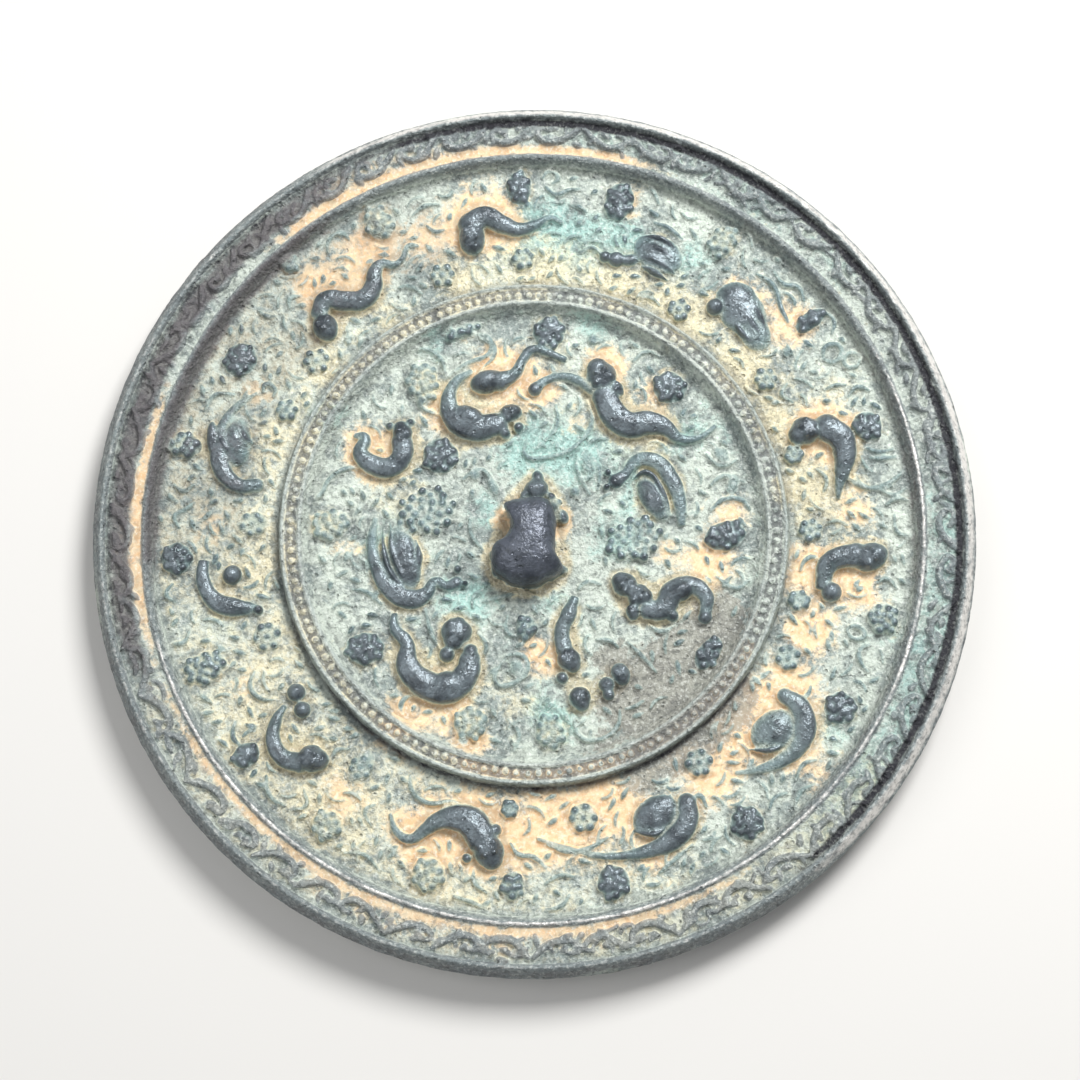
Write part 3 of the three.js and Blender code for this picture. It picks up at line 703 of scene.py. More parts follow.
# Beads of the ring between its two lines
ringBeads = {
    "count": 146,
    "size": 1.5,
    "radius": 46.65,
    "tallness": 1.1,
}


def carveRing():
    chance = random.Random(3)
    pieces = []
    for index in range(ringBeads["count"]):
        angle = 2 * math.pi * index / ringBeads["count"] + chance.uniform(-0.004, 0.004)
        radius = ringBeads["radius"] + chance.uniform(-0.1, 0.1)
        size = ringBeads["size"] * chance.uniform(0.8, 1.08)
        x, y = radius * math.cos(angle), radius * math.sin(angle)
        pieces.append(spot(x, y, plate["ringTroughHeight"], size, ringBeads["tallness"]))
    return pieces


# Scrolls of the rim's band
bandScrolls = {
    "count": 54,
    "height": 1.1,
    "width": 1.25,
    "curl": [                     # share of a step along the band, mm out from its line, share of the width
        (-0.1, 6.6, 0.7), (0.14, 4.6, 1), (0.42, 3.2, 1.1),
        (0.74, 3.6, 1), (0.84, 5.0, 0.8), (0.62, 5.6, 0.6),
    ],
}


def carveBand():
    chance = random.Random(21)
    step = 360 / bandScrolls["count"]
    strokes = []
    for index in range(bandScrolls["count"]):
        flip = -1 if chance.random() < 0.35 else 1
        middle = (index + 0.5) * step
        stroke = []
        for along, out, share in bandScrolls["curl"]:
            angle = math.radians(middle + flip * (along - 0.4) * step + chance.uniform(-0.25, 0.25))
            radius = bandLineRadius + out + chance.uniform(-0.3, 0.3)
            stroke.append((radius * math.cos(angle), radius * math.sin(angle), bandScrolls["width"] * share))
        strokes.append(stroke)
        for offset in (-0.42, 0.1):
            angle = math.radians(middle + offset * step)
            radius = bandLineRadius + chance.uniform(5.4, 6.4)
            tip = angle + math.radians(chance.uniform(0.8, 1.8)) * flip
            strokes.append([
                (radius * math.cos(angle), radius * math.sin(angle), 0.5),
                ((radius - 0.7) * math.cos((angle + tip) / 2),
                (radius - 0.7) * math.sin((angle + tip) / 2), 1.3),
                ((radius - 0.9) * math.cos(tip), (radius - 0.9) * math.sin(tip), 0.5),
            ])
    return [drawStrokes(strokes, bandScrolls["height"], bandScrolls["width"], "bandScrolls", plateHeight, 4)]


# Vines that can be followed by eye, and the small leaves and tendrils that fill the ground between
fill = {
    "outerTries": 4400,
    "innerTries": 2200,
    "bandTries": 1500,
    "gap": 0.7,
    "leafShare": 0.5,
    "height": 0.95,
    "bandHeight": 0.95,
    "headings": (0.5, -0.6, 1.2, -1.1, 2.4),
    "leafLengths": (1.9, 3.2),
    "tendrilLengths": (3.0, 5.0),
    "leafBend": 0.5,
    "tendrilBends": (0.9, 1.8),
    "leafWidths": (0.4, 1.2, 0.9, 0.3),
    "tendrilWidths": (0.6, 0.8, 0.75, 0.55),
}


def takenPlaces():
    taken = [(0, 1, 12)]
    for points in innerBeasts + innerBirds:
        taken += [(x, y, width / 2) for x, y, width in points]
    for points in outerBeasts + outerBirds:
        taken += [(*onPlate(angle, share), width / 2) for angle, share, width in points]
    taken += [(x, y, across / 2) for x, y, across, along, facing in innerHeads]
    taken += [(*onPlate(angle, share), across / 2) for angle, share, across, along, facing in outerHeads]
    taken += [(x, y, size / 2) for x, y, size in paws]
    taken += [(x, y, (across + along) / 4) for x, y, across, along, *rest in lobes]
    taken += [(x, y, (across + along) / 4) for x, y, across, along, turn in innerFans + innerGrapes]
    for angle, share, across, outwards in outerGrapes + outerRosettes:
        taken.append((*onPlate(angle, share), (across + outwards) / 4))
    return taken


# Short leaves and curling tendrils, set wherever nothing stands yet
def scatter(tries, nearest, farthest, taken, chance):
    strokes = []
    for _ in range(tries):
        radius = math.sqrt(chance.uniform(nearest ** 2, farthest ** 2))
        angle = chance.uniform(0, 2 * math.pi)
        x, y = radius * math.cos(angle), radius * math.sin(angle)
        heading = angle + chance.choice(fill["headings"]) + chance.uniform(-0.3, 0.3)
        leaf = chance.random() < fill["leafShare"]
        length = chance.uniform(*fill["leafLengths" if leaf else "tendrilLengths"])
        if leaf:
            bend = chance.uniform(-fill["leafBend"], fill["leafBend"])
        else:
            bend = chance.choice((-1, 1)) * chance.uniform(*fill["tendrilBends"])
        widths = fill["leafWidths" if leaf else "tendrilWidths"]
        stroke = []
        for index, width in enumerate(widths):
            stroke.append((x, y, width))
            x += length / 3 * math.cos(heading + bend * index / 3)
            y += length / 3 * math.sin(heading + bend * index / 3)
        ends = [math.hypot(px, py) for px, py, width in stroke]
        if min(ends) < nearest or max(ends) > farthest:
            continue
        if any(math.hypot(px - tx, py - ty) < size + fill["gap"]
               for px, py, width in stroke for tx, ty, size in taken):
            continue
        taken += [(px, py, 0.1) for px, py, width in stroke]
        strokes.append(stroke)
    return strokes


def carveVines():
    chance = random.Random(17)
    vines = [widened(pairs(points, inPlace), relief["vineWidth"]) for points in innerVines]
    vines += [widened(pairs(points, onPlate), relief["vineWidth"]) for points in outerVines]
    taken = takenPlaces()
    for vine in vines:
        taken += [(x, y, 0.7) for x, y, width in vine]
    strokes = scatter(fill["innerTries"], 0, innerFootRadius - 0.8, taken, chance)
    strokes += scatter(fill["outerTries"], outerFootRadius + 0.6, wallFootRadius - 0.3, taken, chance)
    rimStrokes = scatter(fill["bandTries"], bandLineRadius + 1.7, crestRadius - 0.9, [], chance)
    return [
        drawStrokes(vines, relief["vineHeight"], relief["vineWidth"], "vines"),
        drawStrokes(strokes, fill["height"], max(fill["leafWidths"]), "leaves", steps=4),
        drawStrokes(rimStrokes, fill["bandHeight"], max(fill["leafWidths"]), "rimLeaves", plateHeight, 4),
    ]


# The knob: a crouching beast, head towards +Y, pierced from side to side for the cord
knobForms = {
    "outline": [                  # the body's foot, in mm, anticlockwise from the right shoulder
        (3.9, 4.9), (2.3, 5.7), (0.4, 6.0), (-2.6, 6.1), (-4.9, 5.7), (-4.6, 4.4), (-4.1, 3.0),
        (-4.1, 1.4),
        (-4.8, 0), (-6.1, -1.1), (-7.4, -1.3), (-8.4, -2.4), (-8.9, -5.2), (-8.5, -7), (-7.4, -8),
        (-6, -9.5),
        (-3.4, -10.5), (-0.8, -10.6), (0.9, -9.8), (2.9, -9.5), (4.3, -8.3), (3.9, -6.6), (3.2, -5.1),
        (3.6, -3.6), (4.2, -1.2), (4.5, 1.2), (4.3, 3.3),
    ],
    "middle": (-1.6, -2.2),
    "levels": [                   # share of the outline and height
        (1.02, 2.2), (1.03, 4.4), (0.99, 6.2), (0.88, 7.6), (0.68, 8.6), (0.4, 9.2),
    ],
    "softRounds": 14,
    "headMasses": [               # x, y, z over the field, half sizes
        (1.9, 8.0, 0.6, 2.6, 2.3, 3.1), (2.6, 10.2, 0.3, 1.3, 1.7, 2.1),
        (-0.5, 7.4, 0.4, 1.0, 1.0, 2.6),
        (4.5, 6.2, 0.4, 0.95, 0.95, 2.2), (0.9, 8.5, 2.6, 0.75, 0.75, 1.3),
        (3.0, 8.1, 2.6, 0.75, 0.75, 1.3),
        (-1.1, 6.3, 1.6, 0.8, 0.8, 1.6), (5.7, 4.9, 0.2, 0.9, 0.9, 1.6), (5.9, 2.0, 0.2, 1.4, 1.7, 2.0),
        (4.6, 4.0, 0.2, 1.2, 1.4, 2.6), (-8.1, -3.3, 0.2, 1.35, 1.35, 2.4),
        (-8.2, -6.5, 0.2, 1.4, 1.4, 2.4),
        (4.3, -8.2, 0.2, 1.2, 1.2, 1.9), (2.7, 11.4, 0.2, 0.7, 0.7, 1.3),
    ],
    "headTurn": 8,
    "holeWidth": 6.0,
    "holeHeight": 5.0,
    "holeTurn": -29,
    "holeReach": 26,
    "voxel": 0.3,
}


# The body grows from its outline, level by level, and is then softened like worn metal
def raiseBody():
    bpy.ops.mesh.primitive_circle_add(vertices=len(knobForms["outline"]), radius=mm, fill_type="NGON")
    piece = bpy.context.object
    floor = plate["fieldThickness"] - 1.0
    setPlaces(piece.data, np.array([(x, y, floor) for x, y in knobForms["outline"]]) * mm)
    middle = Vector((*knobForms["middle"], 0)) * mm
    bpy.ops.object.mode_set(mode="EDIT")
    bpy.ops.mesh.select_all(action="SELECT")
    lastShare, lastHeight = 1.0, -1.0
    for share, height in knobForms["levels"]:
        lift = (0, 0, (height - lastHeight) * mm)
        bpy.ops.mesh.extrude_region_move(TRANSFORM_OT_translate={"value": lift})
        step = share / lastShare
        bpy.ops.transform.resize(value=(step, step, 1), center_override=middle)
        lastShare, lastHeight = share, height
    bpy.ops.mesh.select_all(action="SELECT")
    bpy.ops.mesh.normals_make_consistent(inside=False)
    bpy.ops.object.mode_set(mode="OBJECT")
    remesh(piece, knobForms["voxel"])
    soft = piece.modifiers.new("soft", "SMOOTH")
    soft.factor = 0.5
    soft.iterations = knobForms["softRounds"]
    applyAll(piece)
    places = vertexPlaces(piece.data)
    top = places[:, 2].max()
    fitted = places[:, 2] * (knobTop - plate["inset"]) * mm / top
    places[:, 2] = np.where(places[:, 2] > 0, fitted, places[:, 2])
    setPlaces(piece.data, places)
    return piece


def carveKnob():
    floor = plate["fieldThickness"]
    pieces = [raiseBody()]
    for x, y, z, across, along, tall in knobForms["headMasses"]:
        where = placed(x, y, floor + z, (across, along, tall), knobForms["headTurn"])
        pieces.append(copyAt(ball, where, "mass"))
    knob = join(pieces, "knob")
    remesh(knob, knobForms["voxel"])
    bpy.ops.mesh.primitive_cylinder_add(vertices=40, radius=mm, depth=knobForms["holeReach"] * mm)
    hole = bpy.context.object
    hole.data.transform(Matrix.Rotation(math.radians(90), 4, "Y"))
    hole.data.transform(Matrix.Diagonal((1, knobForms["holeWidth"] / 2, knobForms["holeHeight"], 1)))
    hole.data.transform(Matrix.Rotation(math.radians(knobForms["holeTurn"]), 4, "Z"))
    hole.data.transform(Matrix.Translation((0, 0, floor * mm)))
    pick([hole])
    bpy.ops.object.mode_set(mode="EDIT")
    bpy.ops.mesh.select_all(action="SELECT")
    bpy.ops.mesh.normals_make_consistent(inside=False)
    bpy.ops.object.mode_set(mode="OBJECT")
    cut = knob.modifiers.new("cordHole", "BOOLEAN")
    cut.operation = "DIFFERENCE"
    cut.solver = "EXACT"
    cut.object = hole
    applyAll(knob)
    bpy.data.objects.remove(hole)
    return knob


ball = modelBall()
bead = modelBead()
body = turnPlate()
print("plate turned")
knob = carveKnob()
print("knob pierced")
pieces = [body, knob, *carveFigures(), *carveVines(), *carveBand()]
print("figures, vines and scrolls drawn")
pieces += carveGrapes() + carveDots() + carveRing()
print("berries and beads set:", len(pieces))
for model in (ball, bead):
    bpy.data.objects.remove(model)
mirror = join(pieces, "mirrorBronze")


# Everything is fused in one skin, softened as a worn casting, and lumped and pitted on the back
def fuse(piece):
    remesh(piece, skin["voxel"] * (1))
    print("fused:", len(piece.data.vertices), "points")
    places = vertexPlaces(piece.data)
    normals = np.empty(len(places) * 3)
    piece.data.vertices.foreach_get("normal", normals)
    back = np.flatnonzero((normals.reshape(-1, 3)[:, 2] > -0.1) & (places[:, 2] > 2 * mm))
    group = piece.vertex_groups.new(name="back")
    group.add(back.tolist(), 1.0, "REPLACE")
    smooth = piece.modifiers.new("worn", "SMOOTH")
    smooth.factor = 0.5
    smooth.iterations = skin["smoothRounds"]
    for name, size, depth in (("lumps", "lumpSize", "lumpDepth"), ("pits", "pitSize", "pitDepth")):
        texture = bpy.data.textures.new(name, "CLOUDS")
        texture.noise_scale = skin[size] * mm
        texture.noise_depth = 2
        lump = piece.modifiers.new(name, "DISPLACE")
        lump.texture = texture
        lump.texture_coords = "LOCAL"
        lump.vertex_group = "back"
        lump.strength = skin[depth] * mm * 2
        lump.mid_level = 0.5
    applyAll(piece)


def keepInside(piece):
    places = vertexPlaces(piece.data)
    radii = np.hypot(places[:, 0], places[:, 1])
    shrink = np.minimum(1, mirrorRadius * mm / np.maximum(radii, 1e-6))
    places[:, 0] *= shrink
    places[:, 1] *= shrink
    places[:, 2] = np.clip(places[:, 2], 0, knobTop * mm)
    setPlaces(piece.data, places)


# Height of the back over a square grid, for the masks that the finish reads
survey = {
    "cell": 0.3,
    "half": 86.0,
    "tall": 1.5,
    "haloReach": 1.7,
    "haloGain": 2.4,
    "fineReach": 0.8,
    "broadReach": 2.6,
    "riseUnit": 3.0,
    "edgeUnit": 0.35,
    "hollowUnit": 0.9,
    "ringHalf": 3.2,
}

ringMiddle = (plate["ringRadius"] + ringInnerRadius) / 2


def blurred(grid, reach):
    size = grid.shape[0]
    waves = np.fft.fftfreq(size, survey["cell"])
    fall = np.exp(-2 * (math.pi * reach) ** 2 * (waves[:, None] ** 2 + waves[None, :] ** 2))
    return np.fft.ifft2(np.fft.fft2(grid) * fall).real


def surveyHeights(piece):
    size = int(2 * survey["half"] / survey["cell"])
    places = vertexPlaces(piece.data) / mm
    columns = np.clip(((places[:, 0] + survey["half"]) / survey["cell"]).astype(int), 0, size - 1)
    rows = np.clip(((places[:, 1] + survey["half"]) / survey["cell"]).astype(int), 0, size - 1)
    grid = np.zeros((size, size))
    np.maximum.at(grid, (rows, columns), places[:, 2])
    for _ in range(3):            # cells that no point fell in take their neighbours' height
        empty = grid == 0
        moved = [np.roll(grid, step, axis) for axis in (0, 1) for step in (1, -1)]
        grid[empty] = np.maximum.reduce(moved)[empty]
    return grid


def sampled(grid, places):
    size = grid.shape[0]
    u = np.clip((places[:, 0] + survey["half"]) / survey["cell"] - 0.5, 0, size - 1.001)
    v = np.clip((places[:, 1] + survey["half"]) / survey["cell"] - 0.5, 0, size - 1.001)
    i, j = u.astype(int), v.astype(int)
    fu, fv = u - i, v - j
    top = grid[j, i] * (1 - fu) + grid[j, i + 1] * fu
    low = grid[j + 1, i] * (1 - fu) + grid[j + 1, i + 1] * fu
    return top * (1 - fv) + low * fv


# Thinning can leave a triangle folded flat on another; what that opens is closed again
def dropCrumbs(piece):
    pick([piece])
    bpy.ops.object.mode_set(mode="EDIT")
    bpy.ops.mesh.select_all(action="DESELECT")
    bpy.ops.object.mode_set(mode="OBJECT")
    corners = np.empty(len(piece.data.loops), dtype=np.int32)
    piece.data.loops.foreach_get("vertex_index", corners)
    faces = np.bincount(corners, minlength=len(piece.data.vertices))
    piece.data.vertices.foreach_set("select", faces < 3)
    bpy.ops.object.mode_set(mode="EDIT")
    bpy.ops.mesh.delete(type="VERT")
    bpy.ops.mesh.select_all(action="SELECT")
    bpy.ops.mesh.fill_holes(sides=4)
    bpy.ops.object.mode_set(mode="OBJECT")
    print("crumbs dropped:", int((faces < 3).sum()), "points")


fuse(mirror)
keepInside(mirror)
heights = surveyHeights(mirror)
print("heights surveyed")
mirror.data.calc_loop_triangles()
thin = mirror.modifiers.new("thinned", "DECIMATE")
thin.ratio = min(1, skin["triangles"] / len(mirror.data.loop_triangles))
applyAll(mirror)
dropCrumbs(mirror)
keepInside(mirror)
pick([mirror])
bpy.ops.object.shade_smooth()
mirror.vertex_groups.clear()
print("thinned to", len(mirror.data.polygons), "faces")


# Where each kind of soil and patina lies: x, y, reach in mm and strength
soilPatches = {
    "peach": [
        (-30, -54, 9, 0.9), (-18, -56, 9, 1.0), (-5, -57, 9, 1.0), (6, -55, 8, 0.9), (24, -52, 8, 0.8),
        (33, -45, 8, 0.8), (42, -38, 8, 0.8), (49, -28, 6, 0.9), (51, -16, 6, 0.9), (44, -54, 6, 0.5),
        (59, 10, 7, 0.9), (56, 32, 7, 0.7), (48, 40, 6, 0.6), (-24, 60, 8, 0.8), (-34, 56, 6, 0.8),
        (0, 64, 9, 0.9), (-12, 62, 6, 0.6), (62, -6, 6, 0.6), (60, -22, 6, 0.7), (-48, 36, 5, 0.5),
        (-61, 12, 5, 0.5), (-60, -20, 5, 0.4), (-44, -44, 6, 0.6), (12, -66, 5, 0.5), (30, 62, 5, 0.4),
        (33, -11, 6, 0.9), (-29, 22, 6, 0.9), (-1, 33, 7, 0.9), (6, 28, 5, 0.9), (-31, -32, 7, 0.7),
        (-19, -38, 5, 0.7), (-3, -24, 5, 0.8), (20, 31, 5, 0.7), (27, 23, 5, 0.5), (38, -2, 5, 0.6),
        (-22, -30, 5, 0.6), (-36, 2, 5, 0.4), (12, 20, 4, 0.5), (-14, 26, 5, 0.6), (24, -8, 4, 0.5),
        (5, 1, 3.2, 0.9), (-5, 3.6, 2.4, 0.9),
    ],
    "cream": [
        (50, 0, 5, 0.8), (49, 12, 6, 0.8), (45, 24, 7, 0.9), (36, 36, 7, 0.9), (24, 45, 7, 0.9),
        (10, 51, 7, 0.8), (-6, 51, 7, 0.8), (-20, 47, 6, 0.7), (-34, 38, 6, 0.6), (-44, 26, 6, 0.5),
        (-52, 4, 7, 0.6), (-50, -14, 7, 0.5), (-56, -30, 9, 0.6), (-46, -46, 9, 0.6),
        (-30, -62, 9, 0.5),
        (57, -2, 7, 0.7), (10, 34, 8, 0.5), (-24, 12, 8, 0.5), (22, 12, 8, 0.4), (-10, -32, 8, 0.5),
        (0, -52, 9, 0.4), (66, 20, 7, 0.4),
    ],
    "teal": [
        (9, 14, 9, 0.9), (0, 16, 7, 0.9), (24, 6, 8, 0.8), (-30, 1, 7, 0.7), (-14, -10, 8, 0.7),
        (2, -14, 6, 0.6), (-2, -36, 8, 0.8), (12, 58, 10, 0.9), (26, 54, 8, 0.8), (40, 48, 8, 0.6),
        (-8, 6, 6, 0.7), (14, -4, 7, 0.7), (33, 14, 7, 0.6), (-24, -24, 7, 0.5), (-36, 30, 7, 0.6),
        (-58, 24, 8, 0.5), (-62, -6, 8, 0.5), (64, -30, 9, 0.5), (50, -46, 9, 0.5), (-12, 40, 6, 0.5),
        (-38, -52, 8, 0.4), (18, 38, 6, 0.6), (0, 28, 5, 0.4),
    ],
    "mud": [
        (22, -32, 10, 0.9), (12, -36, 8, 0.8), (34, -22, 7, 0.6), (30, -26, 8, 0.7), (10, -26, 6, 0.5),
        (31, -39, 7, 0.9), (20, -46, 7, 0.85), (12, -50, 5, 0.8), (26, -43, 5, 0.8), (4, -44, 6, 0.4),
    ],
}

# Birds rubbed as bare as the beasts: x, y, reach and strength
barePatches = [
    (33.5, 51, 8, 0.9), (25.8, 50.6, 4, 0.8), (46.5, 37, 9, 0.8), (-59, -2, 7, 0.8),
    (-62, 3, 5, 0.8), (-58, 27, 5, 0.8),
    (-55, 21, 5, 0.7), (14, -59, 8, 0.8), (18, -54, 5, 0.7), (42, -46, 6, 0.35), (-30, -2, 5, 0.7),
    (-26, -7, 6, 0.8),
    (-17, -6.5, 4, 0.7), (-25.5, 0, 5, 0.5), (17.4, 7.2, 4, 0.9), (26.5, 6, 5, 0.4), (24, 2, 4, 0.4),
    (-49, -25, 5, 0.5),
]

# Grapes still under their pale patina and grapes rubbed bare, by their places in the two lists
paleInnerGrapes = (0, 2, 7, 8)
darkInnerGrapes = (1, 3, 4, 5, 6, 9)
paleOuterGrapes = (2, 5, 6, 12, 13)
darkOuterGrapes = (0, 1, 3, 4, 7, 9, 11, 15, 16, 17)

# Parts of the rim and band: from and to angle, from and to radius, strength
rimPatches = {
    "peach": [
        (62, 122, 75.2, 77.2, 1.0), (150, 188, 75.2, 77.4, 0.9), (196, 292, 75.2, 77.2, 0.75),
        (0, 60, 75.2, 76.6, 0.3), (90, 120, 77, 81, 0.45), (160, 180, 77, 81, 0.35),
        (225, 275, 77, 81, 0.35),
        (-120, -35, 45.6, 48, 0.7),
    ],
    "cream": [
        (190, 262, 75, 82, 0.45), (120, 290, 50, 73, 0.45), (80, 262, 45.6, 48.2, 0.6),
        (20, 100, 50, 60, 0.4),
        (-20, 20, 50, 66, 0.4), (262, 318, 75, 82, 0.5),
    ],
    "teal": [
        (24, 84, 75, 82, 0.45), (300, 360, 75, 82, 0.6), (262, 300, 75, 82, 0.4),
        (-60, 110, 41, 45, 0.3),
        (0, 360, 18, 30, 0.25), (60, 100, 52, 66, 0.3),
    ],
    "dark": [
        (108, 192, 77.5, 81.6, 0.85), (112, 178, 72.6, 75.0, 0.9), (86, 112, 80, 82, 0.5),
        (20, 60, 72.6, 74.6, 0.4),
        (112, 300, 83.2, 85.5, 0.5), (-70, -20, 72.8, 74.6, 0.5), (-20, 20, 72.4, 74.8, 0.6),
        (92, 176, 56, 73, 0.42),
    ],
    # painted shadow: near-black bands where the crest shades the band's edge, and thin lines where the
    # ring's edges cast shade
    "paintedShadow": [
        (-62, 104, 80.6, 82.2, 0.95), (104, 190, 80.9, 82.2, 0.7), (190, 298, 81.4, 82.2, 0.6),
        (-180, 180, 48.95, 49.5, 0.75), (-180, 180, 44.2, 44.7, 0.5), (170, 320, 49.2, 50.2, 0.5),
    ],
    # a near-white line along the crest: partly metal rubbed bright, partly painted highlight
    "worn": [(-62, 112, 82.6, 84.6, 0.85), (112, 298, 82.5, 83.1, 0.9)],
}


def patchMask(places, patches):
    left = np.ones(len(places))
    for x, y, reach, strength in patches:
        apart = (places[:, 0] - x) ** 2 + (places[:, 1] - y) ** 2
        left *= 1 - strength * np.exp(-apart / (2 * (reach * 0.62) ** 2))
    return 1 - left


def sectorMask(places, sectors):
    radii = np.hypot(places[:, 0], places[:, 1])
    angles = np.degrees(np.arctan2(places[:, 1], places[:, 0]))
    left = np.ones(len(places))
    for start, end, near, far, strength in sectors:
        middle, half = (start + end) / 2, (end - start) / 2
        away = np.abs((angles - middle + 180) % 360 - 180)
        along = 1 / (1 + np.exp((away - half) / 3.0))
        across = 1 / (1 + np.exp((near - radii) / 0.3)) / (1 + np.exp((radii - far) / 0.3))
        left *= 1 - strength * along * across
    return 1 - left


# 1 close around every tall form of the two fields, where the soil is caught
def haloGrid():
    size = heights.shape[0]
    line = (np.arange(size) + 0.5) * survey["cell"] - survey["half"]
    radii = np.hypot(line[None, :], line[:, None])
    tall = (heights - plateHeight(radii) > survey["tall"]) & (radii < wallFootRadius)
    tall &= np.abs(radii - ringMiddle) > survey["ringHalf"]
    return np.clip(blurred(tall.astype(float), survey["haloReach"]) * survey["haloGain"], 0, 1)


def storeMask(piece, name, values):
    mask = piece.data.attributes.new(name, "FLOAT", "POINT")
    mask.data.foreach_set("value", np.clip(values, -1, 2).astype(np.float32))


def maskPiece(piece):
    places = vertexPlaces(piece.data) / mm
    radii = np.hypot(places[:, 0], places[:, 1])
    ground = plateHeight(radii)
    onBack = places[:, 2] > plate["fieldThickness"] - 1.0
    fine = sampled(heights - blurred(heights, survey["fineReach"]), places)
    broad = sampled(heights - blurred(heights, survey["broadReach"]), places)
    fieldRise = np.where(radii < wallFootRadius, places[:, 2] - ground, 0)
    fieldRise = np.where(np.abs(radii - ringMiddle) < survey["ringHalf"], 0, fieldRise)
    storeMask(piece, "rise", fieldRise / survey["riseUnit"])
    storeMask(piece, "halo", sampled(haloGrid(), places) * (radii < wallFootRadius + 1))
    storeMask(piece, "edges", np.where(onBack, fine / survey["edgeUnit"], 0))
    storeMask(piece, "hollow", np.where(onBack, -broad / survey["hollowUnit"], 0))
    for name, patches in soilPatches.items():
        mask = patchMask(places, patches)
        if name in rimPatches:
            fieldMask = mask * (radii < wallFootRadius + 0.5)
            mask = 1 - (1 - fieldMask) * (1 - sectorMask(places, rimPatches[name]))
        storeMask(piece, name, mask)
    veiled = [(*innerGrapes[index][:2], grapes["veilReach"], 1) for index in paleInnerGrapes]
    veiled += [(*onPlate(*outerGrapes[index][:2]), grapes["veilReach"], 1) for index in paleOuterGrapes]
    rubbed = [(*innerGrapes[index][:2], grapes["veilReach"], 0.9) for index in darkInnerGrapes]
    rubbed += [(*onPlate(*outerGrapes[index][:2]), grapes["veilReach"], 0.9) for index in darkOuterGrapes]
    storeMask(piece, "bare", patchMask(places, barePatches + rubbed))
    storeMask(piece, "veiled", patchMask(places, veiled))
    for name in ("dark", "paintedShadow", "worn"):
        storeMask(piece, name, sectorMask(places, rimPatches[name]))
    storeMask(piece, "rim", 1 / (1 + np.exp((wallFootRadius + 0.6 - radii) / 0.25)))
    storeMask(piece, "ring", 1 / (1 + np.exp((np.abs(radii - ringMiddle) - 2.3) / 0.2)))
    # the band's line, lighter on the left, bottom and right: partly rubbed metal, partly painted highlight
    line = np.exp(-((radii - bandLineRadius) / 0.45) ** 2)
    storeMask(piece, "line", line * (0.3 + sectorMask(places, [(185, 378, 70, 80, 0.7)])))


maskPiece(mirror)
print("masks stored")


# Colours are given as the paint would be read off a screen, 0 to 255
def paint(red, green, blue):
    channels = [value / 255 for value in (red, green, blue)]
    linear = [c / 12.92 if c <= 0.04045 else ((c + 0.055) / 1.055) ** 2.4 for c in channels]
    return (*linear, 1.0)


bronze = {
    "palePatina": paint(203, 212, 200),
    "greyPatina": paint(144, 155, 151),
    "tealGrey": paint(108, 130, 134),
    "leafTeal": paint(150, 172, 166),
    "teal": paint(162, 204, 196),
    "cream": paint(231, 219, 182),
    "peach": paint(234, 194, 148),
    "paleSoil": paint(240, 218, 180),
    "mud": paint(146, 142, 132),
    "slate": paint(114, 124, 130),
    "slateDark": paint(62, 67, 74),
    "knobSlate": paint(92, 96, 108),
    "knobBlack": paint(52, 54, 64),
    # dark grain specks, also used for the painted shade at the foot of the forms
    "speckAndShade": paint(64, 68, 70),
    # painted shadow colour for the shaded edges of the crest and the ring
    "paintedShadow": paint(38, 38, 44),
    "brown": paint(92, 86, 88),
    "rimGrey": paint(118, 124, 127),
    # near white for the crest and the band's line: rubbed metal and painted highlight
    "worn": paint(236, 232, 226),
    "bead": paint(184, 185, 180),
    "ringGround": paint(96, 98, 98),
    "fleck": paint(244, 248, 240),
    "grainScale": 1500.0,
    "grainPits": 0.7,
    "grainMean": 0.75,
    "grainStrength": 0.75,
    "grainDepth": 0.0011,
    "blotchScale": 95.0,
    "patchScale": 260.0,
    "bloomScale": 45.0,
    "cloudScale": 130.0,
}


class Nodes:
    # a short hand for laying nodes in one tree
    def __init__(self, tree):
        self.tree = tree
        self.column = 0

    def add(self, kind, **settings):
        node = self.tree.nodes.new(kind)
        self.column += 1
        node.location = (self.column * 180 - 1800, -(self.column % 5) * 220)
        for name, value in settings.items():
            setattr(node, name, value)
        return node

    def link(self, start, end):
        self.tree.links.new(start, end)

    def feed(self, socket, value):
        if isinstance(value, bpy.types.NodeSocket):
            self.link(value, socket)
        else:
            socket.default_value = value

    def mask(self, name):
        return self.add("ShaderNodeAttribute", attribute_name=name).outputs["Fac"]

    def math(self, operation, first, second=0.0, clamp=False):
        node = self.add("ShaderNodeMath", operation=operation, use_clamp=clamp)
        self.feed(node.inputs[0], first)
        self.feed(node.inputs[1], second)
        return node.outputs[0]

    def share(self, value, gain):
        return self.math("MULTIPLY", value, gain)

    def plus(self, first, second):
        return self.math("ADD", first, second)

    def rest(self, value):
        return self.math("SUBTRACT", 1.0, value)

    def mix(self, share, first, second):
        node = self.add("ShaderNodeMix", data_type="RGBA", clamp_factor=True)
        self.feed(node.inputs["Factor"], share)
        self.feed(node.inputs[6], first)
        self.feed(node.inputs[7], second)
        return node.outputs[2]

    def ramp(self, value, low, high):
        # 0 below low, 1 above high, with a soft step between
        node = self.add("ShaderNodeMapRange", interpolation_type="SMOOTHSTEP")
        self.feed(node.inputs["Value"], value)
        node.inputs["From Min"].default_value = low
        node.inputs["From Max"].default_value = high
        return node.outputs["Result"]

    def noise(self, place, scale, detail=3.0, roughness=0.55, distortion=0.0):
        node = self.add("ShaderNodeTexNoise")
        self.feed(node.inputs["Vector"], place)
        self.feed(node.inputs["Scale"], scale)
        node.inputs["Detail"].default_value = detail
        node.inputs["Roughness"].default_value = roughness
        node.inputs["Distortion"].default_value = distortion
        return node.outputs["Fac"]


